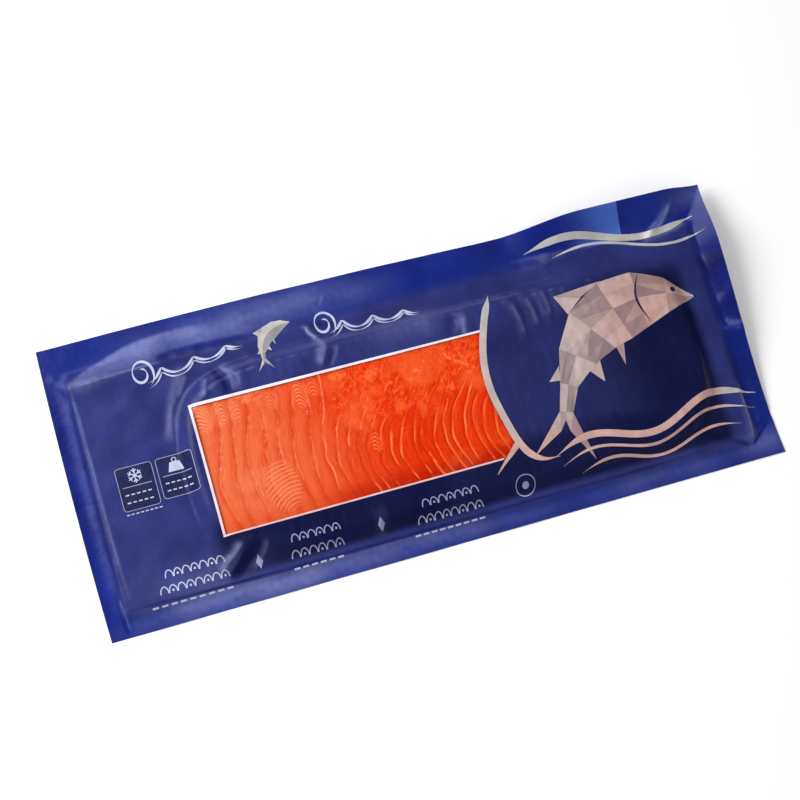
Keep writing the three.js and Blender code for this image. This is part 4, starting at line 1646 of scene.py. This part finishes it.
class SALMON_OT_stage(bpy.types.Operator):
    """Lays the floor, and sets the lights and the camera"""

    bl_idname = "salmon.stage"
    bl_label = "Stage"

    def execute(self, context):
        settings = context.scene.salmon_stage
        self.floor(tuple(settings.floor))
        self.key_light(settings.key)
        self.surroundings(context.scene, settings.world)
        self.camera(context.scene)
        return {"FINISHED"}

    def floor(self, colour):
        bpy.ops.object.select_all(action="DESELECT")
        bpy.ops.mesh.primitive_plane_add(size=FLOOR_SIZE)
        floor = bpy.context.object
        floor.name = "floor"
        material, _, _ = new_material("floor", Base_Color=colour, Roughness=0.8, Specular_IOR_Level=0.1)
        floor.data.materials.append(material)

    def key_light(self, power):
        """One broad soft light, which reflections don't see."""
        data = bpy.data.lights.new("key_light", "AREA")
        data.shape = "DISK"
        data.size = KEY_SIZE
        data.energy = power
        lamp = bpy.data.objects.new("key_light", data)
        lamp.visible_glossy = False
        aim(lamp, KEY_FROM)

    def surroundings(self, scene, brightness):
        """An even room for soft light, and for reflections a dim one with a soft panel of light in it."""
        world = bpy.data.worlds.new("studio")
        world.use_nodes = True
        wires = Wiring(world.node_tree)
        background = world.node_tree.nodes["Background"].inputs
        looking = wires.node("ShaderNodeTexCoord", output="Generated")
        towards = Vector(PANEL_TOWARDS).normalized()
        dot = {"operation": "DOT_PRODUCT"}
        facing = wires.node("ShaderNodeVectorMath", looking, towards, settings=dot, output="Value")
        mirrored = wires.between(facing, PANEL_FADES, PANEL_FULL) * PANEL_BRIGHT + MIRRORED_ROOM
        glossy = wires.node("ShaderNodeLightPath", output="Is Glossy Ray")
        wires.feed(background["Color"], WHITE)
        wires.feed(background["Strength"], glossy * mirrored + (1 - glossy) * brightness)
        scene.world = world
        scene.view_settings.view_transform = "Standard"
        scene.view_settings.look = "None"

    def camera(self, scene):
        data = bpy.data.cameras.new("camera")
        data.lens = CAMERA_LENS
        data.sensor_width = SENSOR
        data.clip_end = 20
        camera = bpy.data.objects.new("camera", data)
        aim(camera, CAMERA_PLACE, CAMERA_TARGET, CAMERA_ROLL)
        scene.camera = camera


# ---- Panel and registration ----

STEPS = (
    SALMON_OT_printed_film,
    SALMON_OT_clear_film,
    SALMON_OT_slices,
    SALMON_OT_window_frame,
    SALMON_OT_large_print,
    SALMON_OT_small_print,
    SALMON_OT_stage,
)
SETTINGS = {
    "salmon_film": SalmonFilmSettings,
    "salmon_slices": SalmonSliceSettings,
    "salmon_print": SalmonPrintSettings,
    "salmon_stage": SalmonStageSettings,
}


class SALMON_PT_pouch(bpy.types.Panel):
    """Lists the steps that build the pouch"""

    bl_idname = "SALMON_PT_pouch"
    bl_label = "Salmon Pouch"
    bl_space_type = "VIEW_3D"
    bl_region_type = "UI"
    bl_category = "Salmon Pouch"

    def draw(self, context):
        for step in STEPS:
            self.layout.operator(step.bl_idname)
        for group in SETTINGS:
            settings = getattr(context.scene, group)
            for name in settings.bl_rna.properties.keys():
                if name not in ("name", "rna_type"):
                    self.layout.prop(settings, name)


CLASSES = (*SETTINGS.values(), *STEPS, SALMON_PT_pouch)


def register():
    for cls in CLASSES:
        bpy.utils.register_class(cls)
    for name, cls in SETTINGS.items():
        setattr(bpy.types.Scene, name, bpy.props.PointerProperty(type=cls))


def unregister():
    for name in SETTINGS:
        delattr(bpy.types.Scene, name)
    for cls in reversed(CLASSES):
        bpy.utils.unregister_class(cls)


def main():
    register()
    for step in STEPS:
        group, name = step.bl_idname.split(".")
        getattr(getattr(bpy.ops, group), name)()


if __name__ == "__main__":
    main()
